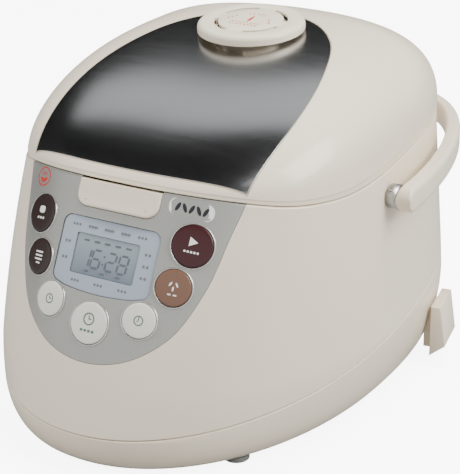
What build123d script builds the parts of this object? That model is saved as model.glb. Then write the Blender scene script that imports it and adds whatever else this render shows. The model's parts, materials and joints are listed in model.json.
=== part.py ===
"""Rice cooker with a domed hinged lid, a folding carrying handle and a sloping control panel.

Frame: +Z up, the front panel faces -Y, the origin is on the table under the middle of the cooker.
All sizes are in millimetres.
"""
import math
import os

from build123d import *

os.makedirs("parts", exist_ok=True)

# ------------------------------------------------------------------ outer form
HALF_WIDTH = 135.0          # half width at the widest line of the body
TOP_HALF_WIDTH = 124.4      # half width at the foot of the dome
FRONT_REACH = 199.0         # from the origin to the front, at the widest line
TOP_FRONT_REACH = 135.0     # the same at the top of the leaning front
FRONT_BULGE = 5.5           # how far the leaning front swells between the two
REAR_REACH = 186.0
TOP_REAR_REACH = 183.6
FRONT_POWER = 2.08          # superellipse powers of the plan curve
TOP_FRONT_POWER = 2.66
REAR_POWER = 2.5
FRONT_WIDEST_Z = 29.5       # height of the widest line at the front, sides and rear
SIDE_WIDEST_Z = 55.8
REAR_WIDEST_Z = 80.0
FRONT_TOP_Z = 177.0         # height where the leaning front ends
DOME_Z = 172.0              # foot of the dome
DOME_HEIGHT = 70.0
DOME_APEX_Y = 80.0
DOME_FRONT_POWER = 1.68     # powers of the dome's side and front outlines
DOME_SIDE_POWER = 3.1
DOME_REAR_POWER = 1.83
DOME_TOP_FRONT_POWER = 3.4  # plan powers that the dome reaches at its top
DOME_TOP_REAR_POWER = 2.0
BOTTOM_ROUND = 20.0         # how far the bottom edge is drawn in
FRONT_BOTTOM_ROUND = 15.0
FOOT_HEIGHT = 3.5           # gap between the table and the base
PLAN_POINTS = 20

# ------------------------------------------------------------------ walls, seams and clearances
WALL = 3.0
SEAM_GAP = 0.6              # between the lid and the body
FIT = 0.3                   # between a moving piece and its neighbour
RUNNING = 0.06              # radial clearance of a pin in its bore
EDGE_GAP = 0.4              # from an inside part's edge to the wall round it
TOUCH = 0.1                 # between fixed parts that rest against each other
BASE_SEAM_FRONT_Z = 29.0    # the base seam is a flat plane, low at the front
BASE_SEAM_REAR_Z = 80.5
# lid seam seen from the side: (y, z), nearly level, raised at the front
LID_SEAM = [(-215, 184), (-135, 176.8), (-100, 169), (-60, 165.6), (-20, 166.6), (30, 171.5), (80, 175.4)]
LID_SEAM_REAR_Z = 176.0

# ------------------------------------------------------------------ inner pot and heater
POT_Y = 26.0
POT_RADIUS = 106.0
POT_DEPTH = 116.0
POT_WALL = 2.0
POT_CORNER = 24.0
POT_FLANGE_RADIUS = 115.0
POT_FLANGE = 2.2
DECK_Z = 160.0              # top of the deck that carries the pot's flange
DECK_THICKNESS = 2.5
DECK_CLEARANCE = 2.0        # between the pot's wall and the deck's hole
SHIELD_RADIUS = 112.0       # inside of the heat shield
SHIELD_WALL = 1.2
SHIELD_FLOOR_Z = 22.0
HEATER_RADIUS = 84.0
HEATER_THICKNESS = 11.0
SENSOR_RADIUS = 15.0
SENSOR_HEIGHT = 9.0
SENSOR_STROKE = 3.0
BAND_HEATER_Z = 104.0
BAND_HEATER_HEIGHT = 18.0
BAND_HEATER_THICKNESS = 1.6

# ------------------------------------------------------------------ lid internals
LINER_THICKNESS = 2.0
INNER_LID_RADIUS = 102.0
INNER_LID_THICKNESS = 1.4
INNER_LID_GAP = 3.2         # from the pot's flange to the inner lid
GASKET_RADIUS = 113.0
KNOB_RADIUS = 11.0
LID_HEATER_RADIUS = 80.0

# ------------------------------------------------------------------ steam vent
VENT_Y = 31.0
VENT_TILT = 5.0             # degrees that the vent leans to the front
VENT_CAP_RADIUS = 38.0
VENT_CAP_FLAT_RADIUS = 34.0
VENT_CAP_HEIGHT = 7.0
VENT_CAP_GAP = 1.2          # shadow gap under the cap
VENT_CAP_WALL = 2.2
VENT_DISC_RADIUS = 23.0
VENT_SLOT_WIDTH = 3.0
VENT_SLOT_DEGREES = 62.0
VENT_CUP_RADIUS = 28.0
VENT_CUP_WALL = 2.0
VENT_CUP_DEPTH = 34.0
VENT_SPIGOT_WALL = 1.6
VENT_SPIGOT_LENGTH = 14.0
VENT_VALVE_RADIUS = 9.0
VENT_PORT_RADIUS = 5.0

# ------------------------------------------------------------------ steel plate on the lid
PLATE_THICKNESS = 1.0
PLATE_GAP = 0.5
PLATE_FRONT_Y = -130.0      # plate outline seen from above
PLATE_CORNER = (81.3, -117.0)
PLATE_WIDEST = (86.3, -76.0)
PLATE_SHOULDER = (77.7, -7.0)
PLATE_NECK = (60.0, 36.0)
PLATE_REAR_Y = 76.0

# ------------------------------------------------------------------ control panel
PANEL_LEAN = 28.7           # degrees from the vertical
PANEL_ORIGIN = (0, -158, 125)
PANEL_GAP = 0.25
PANEL_TOP = (84.0, 75.0)    # outline: (half width, up the slope)
PANEL_UPPER = (77.3, 41.0)
PANEL_MIDDLE = (68.8, 1.0)
PANEL_LOWER = (52.5, -33.0)
PANEL_BOTTOM = -58.5
LCD_HALF_WIDTH = 37.0
LCD_TOP = 32.0
LCD_SIDE_BOTTOM = -9.0
LCD_BOTTOM = -15.5
LCD_CORNER = 6.0
LCD_RECESS = 0.9
GLASS_HALF_WIDTH = 24.0
GLASS_TOP = 21.5
GLASS_BOTTOM = -4.5
GLASS_RECESS = 1.5
GLASS_THICKNESS = 1.2

# buttons: name, x, z of the face's centre, cap diameter
BUTTONS = [
    ("cancel_button", -57.0, 149.0, 24.6),
    ("function_button", -50.9, 124.4, 23.0),
    ("hour_button", -33.8, 103.6, 22.6),
    ("timer_button", 0.0, 96.5, 27.0),
    ("minute_button", 33.8, 103.6, 22.6),
    ("rice_button", 50.9, 124.4, 23.4),
    ("start_button", 57.0, 149.0, 26.6),
]
BUTTON_PROUD = 1.0
BUTTON_THICKNESS = 3.2
BUTTON_STROKE = 0.8
BUTTON_GAP = 0.3
RING_WIDTH = 1.0
RING_PROUD = 0.5
RING_DEPTH = 3.6
STEM_RADIUS = 3.0
STEM_LENGTH = 5.0
SWITCH_SIDE = 6.0
SWITCH_HEIGHT = 3.5

# ------------------------------------------------------------------ lid release
RELEASE_HALF_WIDTH = 30.6
RELEASE_TOP = 64.0
RELEASE_BOTTOM = 38.5
RELEASE_CORNER = 9.0
RELEASE_PROUD = 1.6
RELEASE_THICKNESS = 5.0
HOOK_WIDTH = 26.0
HOOK_PIVOT = (-108.0, 148.0)
HOOK_PIN_RADIUS = 2.0
HOOK_TIP_Z = 168.0
HOOK_REACH = 4.5             # from the pivot back to the hook's tip
CATCH_GAP = 1.3              # from the tip to the catch, so that the lid swings past it
HOOK_SLOT = 14.0             # how far behind the pivot the deck's slot reaches

# ------------------------------------------------------------------ hinge
HINGE_Y = 170.0
HINGE_Z = 182.0
HINGE_RADIUS = 12.5
HINGE_BLOCK_HALF = 34.0
HINGE_ARM_WIDTH = 13.0
HINGE_PIN_RADIUS = 3.0
HINGE_SPRING_HALF = 13.0
HINGE_NOTCH_GAP = 2.0        # from the arms to the ends of the lid's notch
LID_SWEEP_RADIUS = 8.8       # room in the body for the lid's rear edge as it swings
LID_SWEEP_HALF = 66.0

# ------------------------------------------------------------------ handle
HANDLE_PIVOT_Y = -4.0
HANDLE_PIVOT_Z = 151.0
HANDLE_RISE = 1.6           # degrees that the folded handle rises to the rear
HANDLE_X = 140.0            # middle of the arm at the pivot
HANDLE_THICKNESS = 11.0
HANDLE_REAR_THICKNESS = 8.0 # thinner behind, to clear the lid
HANDLE_HEIGHT = 18.0
HANDLE_REAR_Y = FRONT_REACH - HANDLE_THICKNESS / 2   # as far back as the front reaches forward
HANDLE_SIDE_POWER = 2.0     # superellipse powers of the bow, at its side and rear
HANDLE_REAR_POWER = 3.0
HANDLE_STEPS = 7
HANDLE_PIN_RADIUS = 5.0
HANDLE_BOSS_RADIUS = 8.5
HANDLE_SKIN = 3.0            # left outside the stud's bore
HANDLE_STUD_DEPTH = 10.0     # how far the stud reaches into the body

# ------------------------------------------------------------------ paddle holder
HOLDER_Y = 74.0
HOLDER_Z = 47.0
HOLDER_HEIGHT = 39.0
HOLDER_WIDTH = 36.0
HOLDER_DEPTH = 14.0
HOLDER_FOOT_DEPTH = 9.6
HOLDER_MOUTH_DROP = 9.0
HOLDER_WALL = 2.0
RAIL_WIDTH = 18.0
RAIL_THICKNESS = 2.0
HOLDER_GAP = 0.4            # between the rail and the holder's back

# ------------------------------------------------------------------ feet, inlet, boards
FOOT_RADIUS = 9.0
FEET = [(-80, -128), (80, -128), (-82, 118), (82, 118)]
SCREW_RADIUS = 3.5
BASE_SCREWS = [(-98, -70), (98, -70), (-98, 66), (98, 66)]
INLET_Z = 40.0
INLET_WIDTH = 30.0
INLET_HEIGHT = 23.0
INLET_DEPTH = 24.0
INLET_FLANGE = 1.6
INLET_PIN_RADIUS = 1.8
BOARD_THICKNESS = 1.6
CONTROL_BOARD = (84.0, 62.0)
CONTROL_BOARD_CORNER = 4.0
LCD_MODULE = (56.0, 32.0)
POWER_BOARD = (84.0, 50.0)
POWER_BOARD_Y = -132.0
BOARD_POST_HEIGHT = 4.0
BOARD_POST_RADIUS = 3.0
BOARD_POST_X = 37.0
BOARD_POST_SPAN = 40.0


# ------------------------------------------------------------------ the outer surface as a formula
def between(low, high, value):
    """Share of the way from low to high, kept within 0 and 1."""
    return min(max((value - low) / (high - low), 0.0), 1.0)


def mix(start, end, share):
    return start + (end - start) * share


def lean(share):
    """Front reach of the body, share of the way up its leaning front."""
    swell = FRONT_BULGE * 4 * share * (1 - share)
    return mix(FRONT_REACH, TOP_FRONT_REACH, share) + swell


def bottom_inset(z, widest_z, floor_z, radius):
    """How far the rounded bottom edge is drawn in at a height."""
    rise = 1 - between(floor_z, widest_z, z)
    return radius * (1 - math.sqrt(1 - rise * rise))


def plan_at(z, inset):
    """Half width, front reach, rear reach, powers and centre of the plan curve at a height."""
    if z <= DOME_Z:
        front = between(FRONT_WIDEST_Z, FRONT_TOP_Z, z)
        side = between(SIDE_WIDEST_Z, DOME_Z, z)
        rear = between(REAR_WIDEST_Z, DOME_Z, z)
        floor_z = FOOT_HEIGHT + inset
        turn = BOTTOM_ROUND - 0.5 * inset
        front_turn = FRONT_BOTTOM_ROUND - 0.5 * inset
        half = mix(HALF_WIDTH, TOP_HALF_WIDTH, side) - bottom_inset(z, SIDE_WIDEST_Z, floor_z, turn)
        ahead = lean(front) - bottom_inset(z, FRONT_WIDEST_Z, floor_z, front_turn)
        behind = mix(REAR_REACH, TOP_REAR_REACH, rear) - bottom_inset(z, REAR_WIDEST_Z, floor_z, turn)
        front_power = mix(FRONT_POWER, TOP_FRONT_POWER, front)
        return half - inset, ahead - inset, behind - inset, front_power, REAR_POWER, 0.0
    rise = (z - DOME_Z) / (DOME_HEIGHT - inset)
    share = between(FRONT_WIDEST_Z, FRONT_TOP_Z, DOME_Z)
    foot_front = lean(share) - inset
    foot_power = mix(FRONT_POWER, TOP_FRONT_POWER, share)
    front_y = DOME_APEX_Y - (DOME_APEX_Y + foot_front) * arch(rise, DOME_FRONT_POWER)
    rear_y = DOME_APEX_Y + (TOP_REAR_REACH - inset - DOME_APEX_Y) * arch(rise, DOME_REAR_POWER)
    centre = DOME_APEX_Y * rise
    half = (TOP_HALF_WIDTH - inset) * arch(rise, DOME_SIDE_POWER)
    front_power = mix(foot_power, DOME_TOP_FRONT_POWER, rise)
    rear_power = mix(REAR_POWER, DOME_TOP_REAR_POWER, rise)
    return half, centre - front_y, rear_y - centre, front_power, rear_power, centre


def arch(rise, power):
    """Superellipse arch: 1 at the foot, 0 at the top."""
    return (1 - rise ** power) ** (1 / power)


def plan_points(z, inset):
    """Points round the plan curve at a height, for a closed spline."""
    half, ahead, behind, front_power, rear_power, centre = plan_at(z, inset)
    points = []
    for step in range(PLAN_POINTS):
        angle = 2 * math.pi * step / PLAN_POINTS
        c, s = math.cos(angle), math.sin(angle)
        power = front_power if s < 0 else rear_power
        reach = ahead if s < 0 else behind
        x = math.copysign(half * abs(c) ** (2 / power), c)
        y = centre + math.copysign(reach * abs(s) ** (2 / power), s)
        points.append((x, y))
    return points


def front_y(x, z):
    """Y of the front surface at a place on the panel."""
    half, ahead, _, power, _, centre = plan_at(z, 0.0)
    return centre - ahead * (1 - (abs(x) / half) ** power) ** (1 / power)


def rear_half_x(y, z):
    """Half width of the rear part of the surface at a place."""
    half, _, behind, _, power, centre = plan_at(z, 0.0)
    return half * (1 - ((y - centre) / behind) ** power) ** (1 / power)


def top_z(y):
    """Height of the dome over the middle line, ahead of its apex."""
    share = between(FRONT_WIDEST_Z, FRONT_TOP_Z, DOME_Z)
    k = (DOME_APEX_Y - y) / (DOME_APEX_Y + lean(share))
    return DOME_Z + DOME_HEIGHT * arch(k, DOME_FRONT_POWER)


def button_plane(x, z):
    """Plane on the front surface, facing straight out of it, with its y axis up the slope."""
    step = 0.5
    dx = (front_y(x + step, z) - front_y(x - step, z)) / (2 * step)
    dz = (front_y(x, z + step) - front_y(x, z - step)) / (2 * step)
    normal = Vector(dx, -1, dz).normalized()
    sideways = Vector(1, dx, 0)
    sideways = (sideways - normal * sideways.dot(normal)).normalized()
    return Plane(origin=(x, front_y(x, z), z), x_dir=sideways, z_dir=normal)


BODY_LEVELS = [0, 3, 12, 28, 56, 95, 140]
DOME_SHARES = [0.0, 0.18, 0.42, 0.66, 0.85, 0.96, 0.995]


def envelope(inset):
    """Closed solid of the cooker's outer form, drawn in by inset."""
    levels = [FOOT_HEIGHT + inset + level for level in BODY_LEVELS]
    levels += [DOME_Z + (DOME_HEIGHT - inset) * share for share in DOME_SHARES]
    with BuildPart() as form:
        for level in levels:
            with BuildSketch(Plane.XY.offset(level)):
                with BuildLine():
                    Spline(*plan_points(level, inset), periodic=True)
                make_face()
        loft()
    return form.part


outer = envelope(0.0)
cavity = envelope(WALL)
plate_bed = envelope(PLATE_THICKNESS)
lcd_face = envelope(LCD_RECESS)
glass_face = envelope(GLASS_RECESS)
glass_back = envelope(GLASS_RECESS + GLASS_THICKNESS)

base_lean = math.degrees(math.atan2(BASE_SEAM_REAR_Z - BASE_SEAM_FRONT_Z, FRONT_REACH + REAR_REACH))
BASE_PLANE = Plane(
    origin=(0, -FRONT_REACH, BASE_SEAM_FRONT_Z),
    x_dir=(1, 0, 0),
    z_dir=(0, -math.sin(math.radians(base_lean)), math.cos(math.radians(base_lean))),
)
PANEL_PLANE = Plane(
    origin=PANEL_ORIGIN,
    x_dir=(1, 0, 0),
    z_dir=(0, -math.cos(math.radians(PANEL_LEAN)), math.sin(math.radians(PANEL_LEAN))),
)
VENT_PLANE = Plane(
    origin=(0, VENT_Y, top_z(VENT_Y)),
    x_dir=(1, 0, 0),
    z_dir=(0, -math.sin(math.radians(VENT_TILT)), math.cos(math.radians(VENT_TILT))),
)
HANDLE_PLANE = Plane(
    origin=(0, HANDLE_PIVOT_Y, HANDLE_PIVOT_Z),
    x_dir=(1, 0, 0),
    z_dir=(0, -math.sin(math.radians(HANDLE_RISE)), math.cos(math.radians(HANDLE_RISE))),
)
SIDE = HALF_WIDTH + 20.0    # reach of the cutting blocks to either side
FAR = FRONT_REACH + 30.0


def seam_band(low, high):
    """Block whose bottom and top follow the lid seam, low and high above it."""
    with BuildPart() as band:
        with BuildSketch(Plane.YZ):
            with BuildLine():
                bottom = [(y, z + low) for y, z in LID_SEAM]
                top = [(y, z + high) for y, z in LID_SEAM]
                Spline(*bottom, (130, LID_SEAM_REAR_Z + low), tangents=[(1, -0.2), (1, 0)])
                Line((130, LID_SEAM_REAR_Z + low), (FAR, LID_SEAM_REAR_Z + low))
                Line((FAR, LID_SEAM_REAR_Z + low), (FAR, LID_SEAM_REAR_Z + high))
                Line((FAR, LID_SEAM_REAR_Z + high), (130, LID_SEAM_REAR_Z + high))
                Spline(*top, (130, LID_SEAM_REAR_Z + high), tangents=[(1, -0.2), (1, 0)])
                Line(top[0], bottom[0])
            make_face()
        extrude(amount=SIDE, both=True)
    return band.part


above_seam = seam_band(SEAM_GAP, DOME_HEIGHT + 20)
below_seam = seam_band(-FAR, 0.0)


def panel_block(gap):
    """Block through the front wall with the panel's egg-shaped outline, drawn in by gap."""
    with BuildPart() as block:
        with BuildSketch(PANEL_PLANE):
            with BuildLine():
                right = Spline(
                    (PANEL_TOP[0] - gap, PANEL_TOP[1]),
                    (PANEL_UPPER[0] - gap, PANEL_UPPER[1]),
                    (PANEL_MIDDLE[0] - gap, PANEL_MIDDLE[1]),
                    (PANEL_LOWER[0] - 0.8 * gap, PANEL_LOWER[1] + 0.6 * gap),
                    (0, PANEL_BOTTOM + gap),
                    tangents=[(-0.15, -1), (-1, 0)],
                )
                mirror(right, about=Plane.YZ)
                Line((gap - PANEL_TOP[0], PANEL_TOP[1]), (PANEL_TOP[0] - gap, PANEL_TOP[1]))
            make_face()
        extrude(amount=60, both=True)
    return block.part


def lcd_block(gap):
    """Block with the display bezel's outline: upright sides and a bowed bottom edge."""
    with BuildPart() as block:
        with BuildSketch(PANEL_PLANE):
            with BuildLine():
                Line((-LCD_HALF_WIDTH, LCD_SIDE_BOTTOM), (-LCD_HALF_WIDTH, LCD_TOP))
                Line((-LCD_HALF_WIDTH, LCD_TOP), (LCD_HALF_WIDTH, LCD_TOP))
                Line((LCD_HALF_WIDTH, LCD_TOP), (LCD_HALF_WIDTH, LCD_SIDE_BOTTOM))
                ThreePointArc(
                    (LCD_HALF_WIDTH, LCD_SIDE_BOTTOM), (0, LCD_BOTTOM), (-LCD_HALF_WIDTH, LCD_SIDE_BOTTOM)
                )
            face = make_face()
            fillet(face.vertices(), LCD_CORNER)
            if gap:
                offset(amount=-gap)
        extrude(amount=40, both=True)
    return block.part


def glass_block(gap):
    """Block with the display glass's rectangular outline."""
    middle = (GLASS_TOP + GLASS_BOTTOM) / 2
    with BuildPart() as block:
        with BuildSketch(PANEL_PLANE):
            with Locations((0, middle)):
                RectangleRounded(2 * (GLASS_HALF_WIDTH - gap), GLASS_TOP - GLASS_BOTTOM - 2 * gap, 1.5)
        extrude(amount=40, both=True)
    return block.part


def release_block(gap, depth, proud):
    """Block with the release button's outline: rounded lower corners, its top at the lid."""
    with BuildPart() as block:
        with BuildSketch(PANEL_PLANE.offset(proud)):
            height = RELEASE_TOP - RELEASE_BOTTOM - 2 * gap
            with Locations((0, (RELEASE_TOP + RELEASE_BOTTOM) / 2)):
                face = Rectangle(2 * (RELEASE_HALF_WIDTH - gap), height)
            fillet(face.vertices().group_by(Axis.Y)[0], RELEASE_CORNER - gap)
        extrude(amount=-depth)
    return block.part


def plate_block(gap):
    """Upright block with the steel plate's outline seen from above, drawn in by gap."""
    with BuildPart() as block:
        with BuildSketch(Plane.XY.offset(DOME_Z - 10)):
            with BuildLine():
                corner = (PLATE_CORNER[0] - gap, PLATE_CORNER[1] + gap)
                right = Spline(
                    corner,
                    (PLATE_WIDEST[0] - gap, PLATE_WIDEST[1]),
                    (PLATE_SHOULDER[0] - gap, PLATE_SHOULDER[1]),
                    (PLATE_NECK[0] - 0.7 * gap, PLATE_NECK[1] - 0.7 * gap),
                    (0, PLATE_REAR_Y - gap),
                    tangents=[(0.12, 1), (-1, 0)],
                )
                front = Spline((0, PLATE_FRONT_Y + gap), corner, tangents=[(1, 0), (1, 0.32)])
                mirror(right, about=Plane.YZ)
                mirror(front, about=Plane.YZ)
            make_face()
        extrude(amount=DOME_HEIGHT + 30)
    return block.part


def round_block(plane, radius, low, high):
    """Cylinder on a plane, from low to high along its axis."""
    with BuildPart() as block:
        with BuildSketch(plane.offset(low)):
            Circle(radius)
        extrude(amount=high - low)
    return block.part


def hinge_rod(radius, half_length, start=0.0):
    """Rod about the hinge axis; start leaves out its middle, giving two pieces."""
    with BuildPart() as rod:
        for side in (-1, 1):
            with BuildSketch(Plane(origin=(side * start, HINGE_Y, HINGE_Z), z_dir=(side, 0, 0))):
                Circle(radius)
            extrude(amount=half_length - start)
    return rod.part


def save(piece, name):
    piece.label = name
    export_step(piece, f"parts/{name}.step")


# ------------------------------------------------------------------ base
inlet_face = plan_at(INLET_Z, 0.0)[2] + 0.8

with BuildPart() as base_cover:
    add(outer)
    split(bisect_by=BASE_PLANE, keep=Keep.BOTTOM)
    add(cavity, mode=Mode.SUBTRACT)
    # bosses for the base screws
    with BuildSketch(Plane.XY.offset(FOOT_HEIGHT + WALL)):
        with Locations(*BASE_SCREWS):
            Circle(SCREW_RADIUS + 3)
    extrude(amount=10)
    with BuildSketch(Plane.XY.offset(FOOT_HEIGHT)):
        with Locations(*BASE_SCREWS):
            Circle(SCREW_RADIUS + FIT)
    extrude(amount=WALL, mode=Mode.SUBTRACT)
    with BuildSketch(Plane.XY.offset(FOOT_HEIGHT)):
        with Locations(*BASE_SCREWS):
            Circle(1.6)
    extrude(amount=WALL + 10, mode=Mode.SUBTRACT)
    # opening for the mains inlet
    with BuildSketch(Plane.XZ.offset(-REAR_REACH - 10)):
        with Locations((0, INLET_Z)):
            Rectangle(INLET_WIDTH + 0.4, INLET_HEIGHT + 0.4)
    extrude(amount=30, mode=Mode.SUBTRACT)
    with BuildSketch(Plane.XZ.offset(-REAR_REACH - 10)):
        with Locations((0, INLET_Z)):
            Rectangle(INLET_WIDTH + 9.6, INLET_HEIGHT + 7.6)
    extrude(amount=REAR_REACH + 10 - inlet_face + INLET_FLANGE, mode=Mode.SUBTRACT)
save(base_cover.part, "base_cover")

with BuildPart() as rubber_feet:
    with BuildSketch():
        with Locations(*FEET):
            Circle(FOOT_RADIUS)
    extrude(amount=FOOT_HEIGHT)
    fillet(rubber_feet.edges().group_by(Axis.Z)[0], 1.0)
save(rubber_feet.part, "rubber_feet")

with BuildPart() as base_screws:
    with BuildSketch(Plane.XY.offset(FOOT_HEIGHT + 0.6)):
        with Locations(*BASE_SCREWS):
            Circle(SCREW_RADIUS)
    extrude(amount=2.2)
    with BuildSketch(Plane.XY.offset(FOOT_HEIGHT + 2.8)):
        with Locations(*BASE_SCREWS):
            Circle(1.55)
    extrude(amount=9)
    with BuildSketch(Plane.XY.offset(FOOT_HEIGHT + 0.6)):
        with Locations(*BASE_SCREWS):
            Rectangle(4.2, 0.9)
            Rectangle(0.9, 4.2)
    extrude(amount=1.1, mode=Mode.SUBTRACT)
save(base_screws.part, "base_screws")

# ------------------------------------------------------------------ body shell
handle_boss_x = plan_at(HANDLE_PIVOT_Z, 0.0)[0]
handle_inner_x = HANDLE_X - HANDLE_THICKNESS / 2
holder_x = rear_half_x(HOLDER_Y, HOLDER_Z + HOLDER_HEIGHT / 2)
holder_turn = math.degrees(
    math.atan2(
        rear_half_x(HOLDER_Y - 15, HOLDER_Z + 20) - rear_half_x(HOLDER_Y + 15, HOLDER_Z + 20), 30
    )
)
HOLDER_PLANE = Plane(
    origin=(holder_x, HOLDER_Y, HOLDER_Z),
    x_dir=(-math.sin(math.radians(holder_turn)), math.cos(math.radians(holder_turn)), 0),
    z_dir=(0, 0, 1),
)

with BuildPart() as body_shell:
    add(outer)
    split(bisect_by=BASE_PLANE, keep=Keep.TOP)
    add(cavity, mode=Mode.SUBTRACT)
    add(below_seam, mode=Mode.INTERSECT)
    add(panel_block(0.0), mode=Mode.SUBTRACT)
    add(hinge_rod(HINGE_RADIUS + 0.8, HINGE_BLOCK_HALF + HINGE_ARM_WIDTH + 3), mode=Mode.SUBTRACT)
    add(hinge_rod(LID_SWEEP_RADIUS, LID_SWEEP_HALF), mode=Mode.SUBTRACT)
    # holes for the handle's studs
    for side in (-1, 1):
        with BuildSketch(
            Plane(origin=(side * (handle_boss_x - 12), HANDLE_PIVOT_Y, HANDLE_PIVOT_Z), z_dir=(side, 0, 0))
        ):
            Circle(HANDLE_PIN_RADIUS + 0.2)
        extrude(amount=24, mode=Mode.SUBTRACT)
save(body_shell.part, "body_shell")

# ------------------------------------------------------------------ control panel fascia
with BuildPart() as control_fascia:
    add(outer)
    add(panel_block(PANEL_GAP), mode=Mode.INTERSECT)
    add(cavity, mode=Mode.SUBTRACT)
    add(below_seam, mode=Mode.INTERSECT)
    add(lcd_block(0.0), mode=Mode.SUBTRACT)
    add(release_block(-FIT, 40, 20), mode=Mode.SUBTRACT)
    for _, x, z, diameter in BUTTONS:
        hole = diameter / 2 + BUTTON_GAP + RING_WIDTH
        add(round_block(button_plane(x, z), hole, -12, 8), mode=Mode.SUBTRACT)
save(control_fascia.part, "control_fascia")

with BuildPart() as lcd_bezel:
    add(lcd_face)
    add(lcd_block(0.1), mode=Mode.INTERSECT)
    add(cavity, mode=Mode.SUBTRACT)
    add(glass_block(0.0), mode=Mode.SUBTRACT)
    split(bisect_by=Plane.XZ, keep=Keep.TOP)
save(lcd_bezel.part, "lcd_bezel")

with BuildPart() as lcd_window:
    add(glass_face)
    add(glass_block(0.1), mode=Mode.INTERSECT)
    add(glass_back, mode=Mode.SUBTRACT)
    split(bisect_by=Plane.XZ, keep=Keep.TOP)
save(lcd_window.part, "lcd_window")

glass_middle = (GLASS_TOP + GLASS_BOTTOM) / 2
module_top = -(WALL + 3.2)      # front of the display module, behind the panel plane
board_front = -(WALL + BUTTON_THICKNESS + STEM_LENGTH + SWITCH_HEIGHT + 2.5)

with BuildPart() as lcd_module:
    with BuildSketch(PANEL_PLANE.offset(module_top)):
        with Locations((0, glass_middle)):
            Rectangle(*LCD_MODULE)
    extrude(amount=-(module_top - board_front - 0.2))
save(lcd_module.part, "lcd_module")

with BuildPart() as control_board:
    with BuildSketch(PANEL_PLANE.offset(board_front)):
        with Locations((0, glass_middle - 4)):
            RectangleRounded(*CONTROL_BOARD, CONTROL_BOARD_CORNER)
    extrude(amount=-BOARD_THICKNESS)
save(control_board.part, "control_board")

# ------------------------------------------------------------------ buttons, their rings and switches
with BuildPart() as button_rings:
    for _, x, z, diameter in BUTTONS:
        with BuildSketch(button_plane(x, z).offset(RING_PROUD)):
            Circle(diameter / 2 + BUTTON_GAP + RING_WIDTH - 0.02)
            Circle(diameter / 2 + BUTTON_GAP, mode=Mode.SUBTRACT)
        extrude(amount=-RING_DEPTH)
save(button_rings.part, "button_rings")

for name, x, z, diameter in BUTTONS:
    with BuildPart() as button:
        with BuildSketch(button_plane(x, z).offset(BUTTON_PROUD)):
            Circle(diameter / 2)
        extrude(amount=-BUTTON_THICKNESS)
        crown = button.edges().filter_by(GeomType.CIRCLE).sort_by_distance(
            button_plane(x, z).offset(BUTTON_PROUD).origin
        )[0]
        fillet(crown, 0.8)
        with BuildSketch(button_plane(x, z).offset(BUTTON_PROUD - BUTTON_THICKNESS)):
            Circle(STEM_RADIUS)
        extrude(amount=-STEM_LENGTH)
    save(button.part, name)

switch_top = BUTTON_PROUD - BUTTON_THICKNESS - STEM_LENGTH - BUTTON_STROKE - FIT
with BuildPart() as tact_switches:
    for _, x, z, _ in BUTTONS:
        with BuildSketch(button_plane(x, z).offset(switch_top)):
            Circle(1.6)
        extrude(amount=-1)
        with BuildSketch(button_plane(x, z).offset(switch_top - 1)):
            Rectangle(SWITCH_SIDE, SWITCH_SIDE)
        extrude(amount=-SWITCH_HEIGHT + 1)
save(tact_switches.part, "tact_switches")

# ------------------------------------------------------------------ lid release button, hook and springs
with BuildPart() as release_button:
    add(envelope(-RELEASE_PROUD))
    add(release_block(0.0, 40, 20), mode=Mode.INTERSECT)
    add(envelope(RELEASE_THICKNESS - RELEASE_PROUD), mode=Mode.SUBTRACT)
    add(seam_band(-FAR, -SEAM_GAP), mode=Mode.INTERSECT)
    split(bisect_by=Plane.XZ, keep=Keep.TOP)
save(release_button.part, "release_button")

hook_y, hook_z = HOOK_PIVOT
with BuildPart() as latch_hook:
    with BuildSketch(Plane.YZ):
        with Locations((hook_y, hook_z)):
            Circle(5)
        with BuildLine():
            Polyline(
                (hook_y - 2.5, hook_z),
                (hook_y - 2.5, HOOK_TIP_Z),
                (hook_y + HOOK_REACH, HOOK_TIP_Z - 3),
                (hook_y + HOOK_REACH, HOOK_TIP_Z - 5),
                (hook_y + 1, HOOK_TIP_Z - 5),
                (hook_y + 2.5, hook_z),
                close=True,
            )
        make_face()
    extrude(amount=HOOK_WIDTH / 2, both=True)
    with BuildSketch(Plane.YZ):
        with Locations((hook_y, hook_z)):
            Circle(HOOK_PIN_RADIUS + RUNNING)
    extrude(amount=HOOK_WIDTH, both=True, mode=Mode.SUBTRACT)
save(latch_hook.part, "latch_hook")

with BuildPart() as latch_pin:
    with BuildSketch(Plane.YZ):
        with Locations((hook_y, hook_z)):
            Circle(HOOK_PIN_RADIUS)
    extrude(amount=HOOK_WIDTH / 2 + 5, both=True)
save(latch_pin.part, "latch_pin")

with BuildPart() as latch_bracket:
    for side in (-1, 1):
        with BuildSketch(Plane.YZ.offset(side * (HOOK_WIDTH / 2 + 1.5))):
            with BuildLine():
                Polyline(
                    (hook_y - 6, DECK_Z - DECK_THICKNESS),
                    (hook_y + 6, DECK_Z - DECK_THICKNESS),
                    (hook_y + 6, hook_z - 6),
                    (hook_y - 6, hook_z - 6),
                    close=True,
                )
            make_face()
            with Locations((hook_y, hook_z)):
                Circle(HOOK_PIN_RADIUS, mode=Mode.SUBTRACT)
        extrude(amount=side * 2.5)
save(latch_bracket.part, "latch_bracket")

# ------------------------------------------------------------------ deck, heat shield, pot and heater
pot_place = Plane(origin=(0, POT_Y, 0))

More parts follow.
